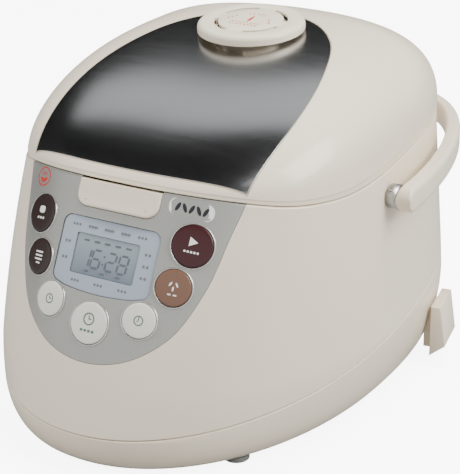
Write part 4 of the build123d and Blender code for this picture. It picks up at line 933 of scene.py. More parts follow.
# ---------------------------------------------------------------------------------------- housing
@dataclass
class Housing:
    """Body shell, base cover and lid shell, made from the outer form."""

    bench: Bench
    columns: int = 384
    wall: float = 3.0
    edge: float = 0.9
    hinge: tuple[float, float] = (170.0, 182.0)
    angles: Array = field(init=False)

    def __post_init__(self) -> None:
        """Spread the columns round the plan."""
        self.angles = np.linspace(0.0, 2 * math.pi, self.columns, endpoint=False) + 1e-4

    def band(self, name: str, low: Array, high: Array, rows: int) -> bpy.types.Object:
        """A ring of wall between two seam curves, with rolled outer edges."""
        quarter = [math.pi / 2 * s / 4 for s in range(5)]
        at = lambda z, inset: FORM.points(self.angles, z, inset)
        r = self.edge
        rings = [at(low + r * (1 - math.cos(a)), r * (1 - math.sin(a))) for a in quarter]
        rings += [at(mix(low + r, high - r, s), 0.0) for s in np.linspace(0, 1, rows)[1:-1]]
        rings += [at(high - r * (1 - math.sin(a)), r * (1 - math.cos(a))) for a in quarter]
        rings += [at(mix(high, low, s), self.wall) for s in np.linspace(0, 1, 9)]
        return self.bench.solid(name, np.vstack(rings), strips(len(rings), self.columns, True))

    def hinge_rod(self, radius: float, half: float) -> bpy.types.Object:
        """A round tool about the hinge axis."""
        y, z = self.hinge
        plane = Flat((-half, y, z), (0.0, 1.0, 0.0), (0.0, 0.0, 1.0))
        return self.bench.prism("hinge_tool", circle(radius, 64), plane, 0.0, 2 * half)

    def body(self) -> tuple[bpy.types.Object, bpy.types.Object]:
        """The body shell, opened for the hinge, and a second band to cut the fascia from; the panel opening
        is cut afterwards.
        """
        low = SEAMS.round(SEAMS.base_z, self.angles, 0.25)
        high = SEAMS.round(SEAMS.lid_z, self.angles)
        shell = self.band("body_shell_skin", low, high, 44)
        twin = bpy.data.objects.new("control_fascia_skin", shell.data.copy())
        bpy.context.scene.collection.objects.link(twin)
        self.bench.cut(shell, self.hinge_rod(13.3, 50.0), self.hinge_rod(8.8, 66.0))
        return shell, twin

    def base(self) -> bpy.types.Object:
        """The base cover: a shallow bowl under the inclined seam."""
        high = SEAMS.round(SEAMS.base_z, self.angles, -0.25)
        floor = np.full(self.columns, FORM.foot)
        at = lambda z, inset: FORM.points(self.angles, z, inset)
        rings = []
        inner_floor = at(floor + self.wall, self.wall)
        middle = np.array([0.0, 0.0, FORM.foot + self.wall])
        rings += [middle + (inner_floor - middle) * s for s in (0.25, 0.6, 0.9)]
        lift = [1 - math.cos(math.pi / 2 * s / 10) for s in range(11)]
        rings += [at(mix(floor + self.wall, high, s), self.wall) for s in lift]
        for step in range(5):
            a = math.pi / 2 * step / 4
            rings.append(at(high - self.edge * (1 - math.cos(a)), self.edge * (1 - math.sin(a))))
        down = [math.cos(math.pi / 2 * s / 26) for s in range(1, 27)]
        rings += [at(mix(floor, high - self.edge, s), 0.0) for s in down]
        outer_floor = rings[-1]
        middle = np.array([0.0, 0.0, FORM.foot])
        rings += [middle + (outer_floor - middle) * s for s in (0.9, 0.6, 0.25)]
        bowl = self.bench.solid(
            "base_cover_skin",
            *capped(rings, np.array([0.0, 0.0, FORM.foot + self.wall]), middle),
        )
        inlet = Flat((0.0, 200.0, 40.0), (-1.0, 0.0, 0.0), (0.0, 0.0, 1.0))
        return self.bench.cut(
            bowl, self.bench.prism("inlet_tool", rounded_rectangle(39.6, 30.6, 2.0), inlet, -40.0, 10.0)
        )

    def lid(self, plate_tool: bpy.types.Object, vent_tool: bpy.types.Object) -> bpy.types.Object:
        """The domed lid with the plate's bed, the vent's hole, the hinge notch and a soft lower crease."""
        low = SEAMS.round(SEAMS.lid_z, self.angles, SEAMS.gap)
        at = lambda z, inset: FORM.points(self.angles, z, inset)
        seam_y = at(low, 0.0)[:, 1]
        crease = mix(2.6, 9.5, between(-120.0, 120.0, seam_y) ** 1.2)
        step_in = 0.55
        arc = [math.pi / 2 * s / 4 for s in range(1, 5)]
        inner_top = np.full_like(low, FORM.top - self.wall)
        rings = [at(mix(low, inner_top, share), self.wall) for share in reversed(self.rise(16))]
        rings.append(at(low, step_in + self.edge))
        rings += [
            at(low + self.edge * (1 - math.cos(a)), step_in + self.edge * (1 - math.sin(a))) for a in arc
        ]
        rings.append(at(low + crease - 0.7, step_in))
        rings += [
            at(low + crease - 0.7 + 1.4 * s, step_in * (1 - s * s * (3 - 2 * s)))
            for s in (0.25, 0.5, 0.75, 1.0)
        ]
        start = low + crease + 0.7
        rings += [at(mix(start, np.full_like(start, FORM.top), s), 0.0) for s in self.rise(60)[1:]]
        shell = self.bench.solid(
            "lid_shell_skin",
            *capped(
                rings,
                np.array([0.0, FORM.apex_y, FORM.top - self.wall]),
                np.array([0.0, FORM.apex_y, FORM.top]),
            ),
        )
        y, z = self.hinge
        side = Flat((-49.3, y + 12.0, z - 18.0), (0.0, 1.0, 0.0), (0.0, 0.0, 1.0))
        notch = self.bench.prism("notch_tool", rounded_rectangle(46.0, 36.0, 1.0), side, 0.0, 98.6)
        return self.bench.cut(shell, plate_tool, vent_tool, self.hinge_rod(13.7, 49.3), notch)

    @staticmethod
    def rise(count: int) -> list[float]:
        """Shares of the way to the top, closer together as the dome flattens; the top itself is left out."""
        return [1.0 - (1.0 - k / count) ** 2.4 for k in range(count)]


# ---------------------------------------------------------------------------------------- plate and vent
@dataclass
class PlateAndVent:
    """The brushed plate on the lid and the round steam cap in it."""

    bench: Bench
    marks: MarkField
    front: float = -130.0
    edge_points: tuple[tuple[float, float], ...] = (
        (81.3, -117.0), (86.3, -76.0), (77.7, -7.0), (60.0, 36.0), (31.0, 65.0), (0.0, 76.0),
    )
    cap_radius: float = 38.0
    cap_low: float = 1.8
    cap_height: float = 7.0

    def outline(self) -> Array:
        """The plate's closed edge seen from above."""
        right = list(self.edge_points)
        side = smooth_line(right + [(-x, y) for x, y in reversed(right[:-1])], 241)
        corner = self.edge_points[0]
        bow = [
            (corner[0] * s, self.front + (corner[1] - self.front) * abs(s) ** 2.6)
            for s in np.linspace(-1, 1, 80)
        ]
        return np.vstack([side[:-1], np.array(bow)[:-1]])

    def plate_tool(self) -> bpy.types.Object:
        """The block that beds the plate into the lid."""
        return self.bench.pad("plate_tool", ON_TOP, self.outline(), 12.0, -1.0, 0.4, rings=40)

    def plate(self) -> bpy.types.Object:
        """The plate, with the vent's hole."""
        sheet = self.bench.pad(
            "steel_plate_skin", ON_TOP, shrunk(self.outline(), 0.7), 0.0, -0.9, 0.35, rings=56
        )
        return self.bench.cut(sheet, self.vent_tool())

    def vent_tool(self) -> bpy.types.Object:
        """The round hole for the steam cup."""
        return self.bench.prism("vent_tool", circle(28.2, 96), VENT, -14.0, 14.0)

    def slot(self, turn: float, width: float = 3.2, sweep: float = 60.0) -> Array:
        """Outline of an arc slot round the cap's middle disc."""
        radius = 24.5
        a = np.radians(np.linspace(turn - sweep / 2, turn + sweep / 2, 20))
        outer = np.stack([(radius + width / 2) * np.cos(a), (radius + width / 2) * np.sin(a)], axis=1)
        inner = np.stack([(radius - width / 2) * np.cos(a), (radius - width / 2) * np.sin(a)], axis=1)[::-1]
        return np.vstack([outer, inner])

    def cap(self) -> bpy.types.Object:
        """The turned cap, its four slots and the spigot under it."""
        low, top, radius = self.cap_low, self.cap_low + self.cap_height, self.cap_radius
        profile = [
            (0.0, top - 2.2), (23.8, top - 2.2), (23.8, top - 16.2), (25.6, top - 16.2), (25.6, top - 2.2),
        ]
        profile += [(radius - 2.2, low + 3.2), (radius - 2.2, low), (radius - 0.5, low), (radius, low + 0.5)]
        for step in range(1, 10):
            a = math.pi / 2 * step / 9
            profile.append((radius - 4.0 * (1 - math.cos(a)), top - 4.0 * (1 - math.sin(a))))
        profile += [
            (30.0, top + 0.0), (27.6, top - 0.05), (26.8, top - 0.35), (26.3, top - 0.35),
            (22.6, top - 0.35),
        ]
        profile += [(22.1, top - 0.2), (21.2, top + 0.05), (12.0, top + 0.25), (0.0, top + 0.3)]
        cap = self.bench.lathe("vent_cap_skin", VENT, profile, 128)
        for turn in (45.0, 135.0, 225.0, 315.0):
            self.bench.cut(cap, self.bench.prism("slot_tool", self.slot(turn), VENT, top - 4.5, top + 2.0))
        return cap

    def cap_marks(self) -> list[bpy.types.Object]:
        """Generic red marks: a drop in the middle, and dashes on both sides and under it."""
        top = self.cap_low + self.cap_height + 0.36
        drop = np.array([
            (1.6 * math.sin(a) * math.sin(a / 2) ** 1.3, 6.0 * math.cos(a))
            for a in np.linspace(0, 2 * math.pi, 29)[:-1]
        ])
        ray = np.array([(-0.25, 0.0), (0.25, 0.0), (0.25, 3.6), (-0.25, 3.6)])
        shapes = [drop + (0.0, 1.0)]
        for degrees in (-32.0, -16.0, 0.0, 16.0, 32.0):
            c, s = math.cos(math.radians(degrees)), math.sin(math.radians(degrees))
            shapes.append(np.array([(x * c + (y + 9.0) * s, (y + 9.0) * c - x * s) for x, y in ray]))
        red = self.bench.tiles("vent_marks", VENT, shapes, top)
        spots = [(x, y) for y in (-8.2, -12.2) for x in np.linspace(-10.0, 10.0, 8)]
        spots += [(side * (13.0 + 1.6 * k), 3.0 - 3.4 * k) for side in (-1, 1) for k in range(3)]
        spots = np.array(spots)
        sizes = np.tile((1.7, 1.2, 1.0), (len(spots), 1))
        aims = np.tile(VENT.out, (len(spots), 1))
        dashes = self.marks.stamp("vent_dashes", VENT.at(spots, top), aims, sizes, Ink.red.value, 0.1, 6)
        return [red, dashes]

    def build(self) -> None:
        """Make and hang the plate and the vent's pieces."""
        plate = self.plate()
        self.bench.soften(plate, 40.0, inset=0.0)
        self.bench.hang(plate, "lid", Slot.brushed_plate.value, "brushed_plate", ["steel_plate"])
        cap = self.cap()
        self.bench.soften(cap, 32.0)
        self.bench.hang(cap, "vent", Slot.vent_plastic.value, "vent_plastic", ["vent_cap"])
        for piece in self.cap_marks():
            self.bench.hang(piece, "vent", Ink.red.value)


# ---------------------------------------------------------------------------------------- control panel
@dataclass(frozen=True)
class Key:
    """One key of the panel: where it is, how wide it is and what it carries."""

    node: str
    x: float
    z: float
    diameter: float
    slot: Slot
    icon: str

    @property
    def body(self) -> str:
        """The CAD body that the key moves with."""
        return self.node.replace("_button", "_key")

    @property
    def plane(self) -> Flat:
        """The plane of its face."""
        return Flat.on_front(self.x, self.z)


def bar(x: float, y: float, width: float, height: float) -> Array:
    """A small upright rectangle about a place."""
    return rounded_rectangle(width, height, 0.3 * min(width, height), 2) + (x, y)


def ring(radius: float, width: float, x: float = 0.0, y: float = 0.0) -> list[Array]:
    """A ring as two half bands."""
    made = []
    for start in (0.0, math.pi):
        a = np.linspace(start, start + math.pi, 18)
        outer = np.stack([x + radius * np.cos(a), y + radius * np.sin(a)], axis=1)
        inner = np.stack([x + (radius - width) * np.cos(a), y + (radius - width) * np.sin(a)], axis=1)[::-1]
        made.append(np.vstack([outer, inner]))
    return made


def grain(x: float, y: float, degrees: float, length: float = 3.4) -> Array:
    """A rice grain outline."""
    a = np.linspace(0, 2 * math.pi, 16, endpoint=False)
    u, v = 0.5 * length * np.cos(a), 0.19 * length * np.sin(a)
    c, s = math.cos(math.radians(degrees)), math.sin(math.radians(degrees))
    return np.stack([x + u * c - v * s, y + u * s + v * c], axis=1)


ICONS: dict[str, list[Array]] = {
    "stop": [
        bar(0, 2.2, 5.6, 4.6), bar(-2.6, -3.4, 1.6, 1.6), bar(0, -3.4, 1.6, 1.6), bar(2.6, -3.4, 1.6, 1.6),
    ],
    "menu": [bar(0, 3.2, 7.6, 1.2), bar(0, 0.6, 7.6, 1.2), bar(0, -2.0, 7.6, 1.2), bar(0, -4.6, 4.0, 1.2)],
    "hour": [*ring(3.6, 0.8), bar(0, 1.1, 0.7, 2.2), bar(0.9, 0, 1.9, 0.7)],
    "minute": [*ring(3.6, 0.8), bar(0, 1.4, 0.7, 2.8), bar(-0.8, -0.6, 1.5, 0.6)],
    "timer": [*ring(3.8, 0.8, 0, 2.4), bar(0, 3.5, 0.7, 2.2), bar(0.9, 2.4, 1.9, 0.7)]
    + [bar(x, -4.6, 1.7, 1.5) for x in (-3.9, -1.3, 1.3, 3.9)],
    "rice": [
        grain(-2.2, 2.4, 60), grain(2.2, 2.4, 120), grain(0, -0.6, 90),
        bar(-2, -4.6, 2.4, 1.0), bar(2, -4.6, 2.4, 1.0),
    ],
    "start": [np.array([(-2.2, 5.2), (-2.2, -0.4), (3.0, 2.4)])]
    + [bar(x, -3.6, 1.3, 1.3) for x in (-4, -2, 0, 2, 4)],
}

KEYS = (
    Key("cancel_button", -57.0, 149.0, 24.6, Slot.key_dark, "stop"),
    Key("function_button", -50.9, 124.4, 23.0, Slot.key_dark, "menu"),
    Key("hour_button", -33.8, 103.6, 22.6, Slot.key_light, "hour"),
    Key("timer_button", 0.0, 96.5, 27.0, Slot.key_light, "timer"),
    Key("minute_button", 33.8, 103.6, 22.6, Slot.key_light, "minute"),
    Key("rice_button", 50.9, 124.4, 23.4, Slot.key_brown, "rice"),
    Key("start_button", 57.0, 149.0, 26.6, Slot.key_red, "start"),
)


@dataclass(frozen=True)
class Digits:
    """Seven-segment figures for the display."""

    height: float = 11.5
    width: float = 6.4
    stroke: float = 1.35
    slant: float = 0.10
    lit: str = "abcdefg"
    table: tuple[str, ...] = (
        "abcdef", "bc", "abdeg", "abcdg", "bcfg", "acdfg", "acdefg", "abc", "abcdefg", "abcdfg",
    )

    def segment(self, letter: str) -> Array:
        """One segment's outline."""
        w, h, t = self.width / 2, self.height / 2, self.stroke
        flat = {"a": h, "g": 0.0, "d": -h}
        if letter in flat:
            y = flat[letter]
            return np.array([
                (-w + t, y - t / 2), (w - t, y - t / 2), (w - t / 2, y),
                (w - t, y + t / 2), (-w + t, y + t / 2), (-w + t / 2, y),
            ])
        x = w if letter in "bc" else -w
        y = h / 2 if letter in "bf" else -h / 2
        r = h / 2 - t * 0.75
        return np.array([
            (x - t / 2, y - r), (x, y - r - t / 2), (x + t / 2, y - r),
            (x + t / 2, y + r), (x, y + r + t / 2), (x - t / 2, y + r),
        ])

    def figure(self, value: int, x: float, y: float) -> list[Array]:
        """The segments of a figure at a place, leaning slightly."""
        made = []
        for letter in self.table[value]:
            shape = self.segment(letter)
            shape[:, 0] += self.slant * shape[:, 1] + x
            shape[:, 1] += y
            made.append(shape)
        return made


@dataclass
class ControlPanel:
    """Silver fascia, display, keys with their rings, the printed marks and the lid release."""

    bench: Bench
    marks: MarkField
    edge: tuple[tuple[float, float], ...] = (
        (84.0, 75.0), (77.3, 41.0), (68.8, 1.0), (52.5, -33.0), (28.5, -52.2), (0.0, -58.5),
    )
    release_half: float = 30.6
    ring_width: float = 1.0
    key_gap: float = 0.3

    def outline(self) -> Array:
        """The panel's closed egg-shaped edge, in the panel plane."""
        right = list(self.edge)
        return smooth_line(right + [(-x, y) for x, y in reversed(right[:-1])], 181)

    def tool(self, gap: float) -> bpy.types.Object:
        """The block that opens the body for the panel, or trims the panel itself."""
        shape = self.outline()
        shape = shrunk(shape, gap) if gap else shape
        return self.bench.prism("panel_tool", shape, PANEL, -45.0, 45.0)

    @staticmethod
    def bezel_outline() -> Array:
        """The display frame: upright sides, a bowed lower edge and rounded corners."""
        half, top, low, bow, corner = 37.0, 32.0, -9.0, -15.5, 6.0
        made = []
        for sx, cy, start in ((1, top - corner, 0.0), (-1, top - corner, 90.0)):
            for step in range(9):
                a = math.radians(start + 90.0 * step / 8)
                made.append((sx * (half - corner) + corner * math.cos(a), cy + corner * math.sin(a)))
        for step in range(9):
            a = math.radians(180.0 + 80.0 * step / 8)
            made.append((-(half - corner) + corner * math.cos(a), low + 3.2 + corner * math.sin(a)))
        made += [(x, bow + (1 - math.cos(x / half * 1.1)) * 7.0) for x in np.linspace(-26.0, 26.0, 27)]
        for step in range(9):
            a = math.radians(280.0 + 80.0 * step / 8)
            made.append((half - corner + corner * math.cos(a), low + 3.2 + corner * math.sin(a)))
        return np.array(made)

    def release_outline(self, extra: float = 0.0) -> Array:
        """The release button: straight top under the lid, rounded lower corners and a bowed lower edge."""
        half, top, low, corner = self.release_half + extra, 66.0, 38.5 - extra, 9.0
        made = [(half, top), (-half, top)]
        for step in range(10):
            a = math.radians(180.0 + 90.0 * step / 9)
            made.append((-(half - corner) + corner * math.cos(a), low + corner + corner * math.sin(a)))
        for step in range(10):
            a = math.radians(270.0 + 90.0 * step / 9)
            made.append((half - corner + corner * math.cos(a), low + corner + corner * math.sin(a)))
        rows = [np.array(made[k]) for k in range(len(made))]
        dense = []
        for a, b in zip(rows, rows[1:] + rows[:1]):
            parts = max(int(np.linalg.norm(b - a) / 2.5), 1)
            dense += [a + (b - a) * s / parts for s in range(parts)]
        return np.array(dense)

    def over_seam(self, offset: float) -> bpy.types.Object:
        """The block above the lid seam, for trimming the release button."""
        ys = np.linspace(-214.0, -60.0, 60)
        shape = np.vstack([
            np.stack([ys, SEAMS.lid_z(ys) + offset], axis=1), [(-60.0, 320.0), (-214.0, 320.0)],
        ])
        plane = Flat((-160.0, 0.0, 0.0), (0.0, 1.0, 0.0), (0.0, 0.0, 1.0))
        return self.bench.prism("over_tool", shape, plane, 0.0, 320.0)

    def fascia(self, blank: bpy.types.Object) -> None:
        """Trim the blank to the panel and open it for the display, the keys and the release button."""
        self.bench.cut(blank, self.tool(0.3), keep=True)
        for key in KEYS:
            hole = circle(key.diameter / 2 + self.key_gap + self.ring_width, 72)
            self.bench.cut(blank, self.bench.prism("key_tool", hole, key.plane, -9.0, 9.0))
        self.bench.cut(blank, self.bench.prism("bezel_tool", self.bezel_outline(), PANEL, -40.0, 40.0))
        self.bench.cut(
            blank, self.bench.prism("release_tool", self.release_outline(0.35), PANEL, -40.0, 40.0)
        )
        self.bench.soften(blank, 35.0, inset=0.0)
        self.bench.hang(blank, "cooker", Slot.panel_paint.value, "panel_paint", ["control_fascia"])

    def display(self) -> None:
        """The pale frame, the window and the figures in it."""
        glass = rounded_rectangle(48.0, 26.0, 1.5) + (0.0, 8.5)
        bezel = self.bench.pad(
            "lcd_bezel_skin", ON_PANEL, shrunk(self.bezel_outline(), 0.15), -0.7, -2.9, 0.5
        )
        self.bench.cut(bezel, self.bench.prism("glass_tool", glass, PANEL, -40.0, 40.0))
        self.bench.soften(bezel, 35.0)
        self.bench.hang(bezel, "cooker", Slot.lcd_frame.value, "lcd_frame", ["lcd_bezel"])
        window = self.bench.pad("lcd_window_skin", ON_PANEL, shrunk(glass, 0.1), -1.5, -2.7, 0.15)
        self.bench.soften(window, 35.0)
        self.bench.hang(window, "cooker", Slot.lcd_glass.value, "lcd_glass", ["lcd_window"])
        digits = Digits()
        shapes: list[Array] = []
        for value, x in ((1, -14.2), (6, -6.0), (2, 5.2), (8, 14.2)):
            shapes += digits.figure(value, x, 6.6)
        shapes += [bar(-0.3 + 0.25, 9.2, 1.3, 1.3), bar(-0.3 - 0.25, 4.2, 1.3, 1.3)]
        shapes += [bar(x, 17.4, 4.2, 1.2) for x in (-16.0, -8.0, 0.0, 8.0, 16.0)]
        shapes += [bar(x, -1.9, 3.2, 1.0) for x in (-12.0, 0.0, 12.0)]
        self.bench.hang(
            self.bench.tiles("lcd_figures", ON_PANEL, shapes, -1.43, 0.05), "cooker", Ink.segment.value
        )
        spots = [(x + d, 26.2) for x in (-26.0, -13.5, -1.0, 11.5, 24.0) for d in (-2.4, 0.0, 2.4)]
        spots += [(x + d, -9.2) for x in (-18.0, 0.0, 18.0) for d in (-2.4, 0.0, 2.4)]
        spots += [(-30.3 + d, y) for y in (14.5, 4.0) for d in (-1.3, 1.3)]
        spots += [(30.3 + d, y) for y in (16.5, 9.0, 1.5) for d in (-1.3, 1.3)]
        spots = np.array(spots)
        on = ON_PANEL.at(spots, -0.65)
        sizes = np.tile((1.8, 2.0, 1.0), (len(spots), 1))
        labels = self.marks.stamp("bezel_labels", on, FORM.normals(on), sizes, Ink.grey.value, 0.1, 6)
        self.bench.hang(labels, "cooker", Ink.grey.value)

    def key(self, key: Key) -> None:
        """One turned key with its icon."""
        r = key.diameter / 2
        profile = [(0.0, -8.0), (3.0, -8.0), (3.0, -2.2), (r, -2.2), (r, 0.1)]
        profile += [
            (r - 0.9 * (1 - math.cos(a)), 0.1 + 0.9 * math.sin(a)) for a in np.linspace(0.2, math.pi / 2, 6)
        ]
        profile += [(r * s, 1.0 + 0.35 * (1 - s * s)) for s in (0.85, 0.65, 0.4, 0.2)] + [(0.0, 1.35)]
        cap = self.bench.lathe(f"{key.node}_skin", key.plane, profile, 80)
        self.bench.soften(cap, 40.0)
        self.bench.hang(cap, key.body, key.slot.value, key.slot.name, [key.node])
        dark = key.slot is Slot.key_light
        scale = key.diameter / 25.0
        shapes = [shape * scale for shape in ICONS[key.icon]]
        icon = self.bench.tiles(f"{key.node}_icon", key.plane, shapes, 1.42, 0.25)
        self.bench.hang(icon, key.body, (Ink.green if dark else Ink.white).value)

    def rings(self) -> None:
        """The bright rings round the keys, as one piece."""
        points, faces, start = [], [], 0
        for key in KEYS:
            inner = key.diameter / 2 + self.key_gap
            outer = inner + self.ring_width - 0.03
            middle, half = (inner + outer) / 2, (outer - inner) / 2
            section = [(inner, -2.6), (inner, 0.1)]
            section += [
                (middle - half * math.cos(a), 0.1 + 0.45 * math.sin(a))
                for a in np.linspace(0.4, math.pi - 0.4, 6)
            ]
            section += [(outer, 0.1), (outer, -2.6)]
            rows = [key.plane.at(circle(r, 72), h) for r, h in section]
            points += rows
            faces += [tuple(start + i for i in face) for face in strips(len(rows), 72, True)]
            start += len(rows) * 72
        made = self.bench.solid("button_rings_skin", np.vstack(points), faces)
        self.bench.soften(made, 40.0)
        self.bench.hang(made, "cooker", Slot.key_ring.value, "key_ring", ["button_rings"])

    def printed(self) -> None:
        """Generic marks printed on the silver panel: a round bowl sign and a grain label."""
        centre = (-64.5, 52.0)
        bowl_edge = [
            (centre[0] + 3.6 * math.cos(a), centre[1] - 0.4 + 3.4 * math.sin(a))
            for a in np.linspace(math.pi, 2 * math.pi, 16)
        ]
        steam = [bar(centre[0] + x, centre[1] + 2.0, 0.8, 2.4) for x in (-1.6, 0.0, 1.6)]
        sign = [*ring(6.4, 0.9, *centre), np.array(bowl_edge), *steam]
        self.bench.hang(self.bench.tiles("round_sign", ON_PANEL, sign, 0.06, 0.1), "cooker", Ink.red.value)
        plate = rounded_rectangle(29.0, 10.5, 4.5) + (51.0, 50.5)
        self.bench.hang(
            self.bench.tiles("label_plate", ON_PANEL, [plate], 0.05, 0.1), "cooker", Ink.white.value
        )
        grains = [
            grain(51.0 + x, 50.5 + y, turn, 6.2)
            for x, y, turn in ((-8.5, 0, 65), (-4, 0, 115), (0.5, 0, 65), (5, 0, 115), (9.3, 0, 65))
        ]
        self.bench.hang(
            self.bench.tiles("label_grains", ON_PANEL, grains, 0.12, 0.1), "cooker", Ink.black.value
        )

    def release(self) -> None:
        """The lid release: a proud key whose top follows the lid seam."""
        made = self.bench.pad(
            "release_button_skin", ON_PANEL, self.release_outline(), 1.6, -3.3, 1.3, rings=16
        )
        self.bench.cut(made, self.over_seam(-0.6))
        self.bench.soften(made, 38.0)
        self.bench.hang(made, "release", Slot.shell_plastic.value, "shell_plastic", ["release_button"])
        # painted shade: a thin grey line across the key stands in for the shadow in a crease
        crease = [np.array([
            (-24.0, 43.2), (-22.0, 42.4), (22.0, 42.4), (24.0, 43.2), (22.0, 42.9), (-22.0, 42.9),
        ])]
        line = self.bench.tiles("release_crease_shade", ON_PANEL, crease, 1.62, 0.1)
        self.bench.hang(line, "release", Ink.grey.value)

    def build(self, blank: bpy.types.Object) -> None:
        """Make and hang everything on the panel."""
        self.fascia(blank)
        self.display()
        self.rings()
        for key in KEYS:
            self.key(key)
        self.printed()
        self.release()


# ---------------------------------------------------------------------------------------- handle and holder
@dataclass
class CarryHandle:
    """The bow handle: one moulded bar that ends in two round pivots."""

    bench: Bench
    pivot: tuple[float, float, float] = (0.0, -4.0, 151.0)
    rise: float = 1.6
    reach_x: float = 140.0
    reach_y: float = 197.5
    thickness: float = 11.0
    rear_thickness: float = 8.0
    height: float = 18.0
    steps: int = 60

    def path(self) -> tuple[Array, Array]:
        """Middle line and outward directions from the right pivot round to the left one, seen from above."""
        a = np.linspace(0.0, math.pi / 2, self.steps)
        power = mix(2.0, 3.0, a / (math.pi / 2))
        x = self.reach_x * np.cos(a).clip(0, 1) ** (2 / power)
        y = self.reach_y * np.sin(a) ** (2 / power)
        x[-1] = 0.0
        right = np.stack([x, y], axis=1)
        left = right[::-1][1:] * (-1, 1)
        line = np.vstack([right, left])
        length = np.concatenate([[0.0], np.cumsum(np.linalg.norm(np.diff(line, axis=0), axis=1))])
        even = np.linspace(0.0, length[-1], 2 * self.steps + 41)
        line = np.stack([np.interp(even, length, line[:, k]) for k in (0, 1)], axis=1)
        for _ in range(6):
            line[1:-1] = 0.25 * line[:-2] + 0.5 * line[1:-1] + 0.25 * line[2:]
        along = np.gradient(line, axis=0)
        along[0], along[-1] = (0.0, 1.0), (0.0, -1.0)
        along /= np.linalg.norm(along, axis=1, keepdims=True)
        out = np.stack([along[:, 1], -along[:, 0]], axis=1)
        return line, out

    def build(self) -> None:
        """Sweep the section round the bow and close it with round ends."""
        line, out = self.path()
        plane = Flat.leaning(self.pivot, self.rise)
        section = rounded_rectangle(1.0, 1.0, 0.24, 6) * (1.0, 1.0)
        radius = self.height / 2
        lead = [(-radius * math.cos(a), math.sin(a)) for a in np.linspace(0.12, math.pi / 2, 12)[:-1]]
        rows: list[Array] = []

        def ring_at(place: Array, direction: Array, thick: float, inner: float, tall: float) -> Array:
            """One section of the bar."""
            off = section[:, :1] * thick + inner + thick / 2
            flat = place + off * direction
            return plane.at(flat, section[:, 1] * tall)

        for back, tall in lead:
            rows.append(
                ring_at(
                    line[0] + (0.0, back), out[0], self.thickness, -self.thickness / 2, self.height * tall
                )
            )
        for place, direction in zip(line, out):
            thin = max(direction[1], 0.0) ** 2
            thick = mix(self.thickness, self.rear_thickness, thin)
            rows.append(ring_at(place, direction, thick, self.thickness / 2 - thick, self.height))
        for back, tall in reversed(lead):
            rows.append(
                ring_at(
                    line[-1] + (0.0, back), out[-1], self.thickness, -self.thickness / 2, self.height * tall
                )
            )
        ends = [plane.at(line[k] + (0.0, -radius)) for k in (0, -1)]
        bow = self.bench.solid("handle_skin", *capped(rows, *ends))
        self.bench.soften(bow, 50.0)
        self.bench.hang(bow, "handle", Slot.shell_plastic.value, "shell_plastic", ["handle"])


@dataclass
class CopiedParts:
    """Every other part, as a smoothed copy of its CAD node in the record's slot finish."""

    bench: Bench
    crisp: tuple[str, ...] = ("paddle_holder", "holder_rail", "inlet_socket", "hinge_block")
    bevel: float = 0.7

    def soft_edges(self, piece: bpy.types.Object, width: float) -> None:
        """Round the sharp edges of a piece with flat faces."""
        shape = bmesh.new()
        shape.from_mesh(piece.data)
        bmesh.ops.dissolve_limit(shape, angle_limit=math.radians(1.0), verts=shape.verts, edges=shape.edges)
        shape.to_mesh(piece.data)
        shape.free()
        change = piece.modifiers.new("edges", "BEVEL")
        change.width = width * MM
        change.segments = 3
        change.limit_method = "ANGLE"
        change.angle_limit = math.radians(40.0)
        self.bench.settle(piece)
        self.bench.soften(piece, 30.0)

    def build(self, done: set[str]) -> None:
        """Copy each node that no other piece stands for."""
        slots = {part["node"]: part["material_slot"] for part in frame["record"]["subparts"]}
        for node, source in frame["nodes"].items():
            if node in done:
                continue
            piece = self.bench.copied(node)
            if node in self.crisp:
                self.soft_edges(piece, self.bevel if node == "paddle_holder" else 0.4)
            body = body_of(source)
            body = body if isinstance(body, str) else list(body)[0]
            slot = slots[node]
            self.bench.hang(piece, body, Slot[slot].value, slot, [node])


# ---------------------------------------------------------------------------------------- studio
@dataclass(frozen=True)
class Softbox:
    """A rectangular light that faces a place."""

    name: str
    place: tuple[float, float, float]
    size: tuple[float, float]
    power: float
    colour: tuple[float, float, float] = (1.0, 1.0, 1.0)
    aim: tuple[float, float, float] = (0.0, 0.0, 0.12)
    glossy: bool = False

    def build(self) -> None:
        """Make the light; reflections see it only where glossy is set."""
        data = bpy.data.lights.new(self.name, "AREA")
        data.shape = "RECTANGLE"
        data.size, data.size_y = self.size
        data.energy = self.power
        data.color = self.colour
        made = bpy.data.objects.new(self.name, data)
        made.location = self.place
        made.rotation_mode = "QUATERNION"
        made.rotation_quaternion = (Vector(self.aim) - Vector(self.place)).to_track_quat("-Z", "Y")
        made.visible_glossy = self.glossy
        bpy.context.scene.collection.objects.link(made)


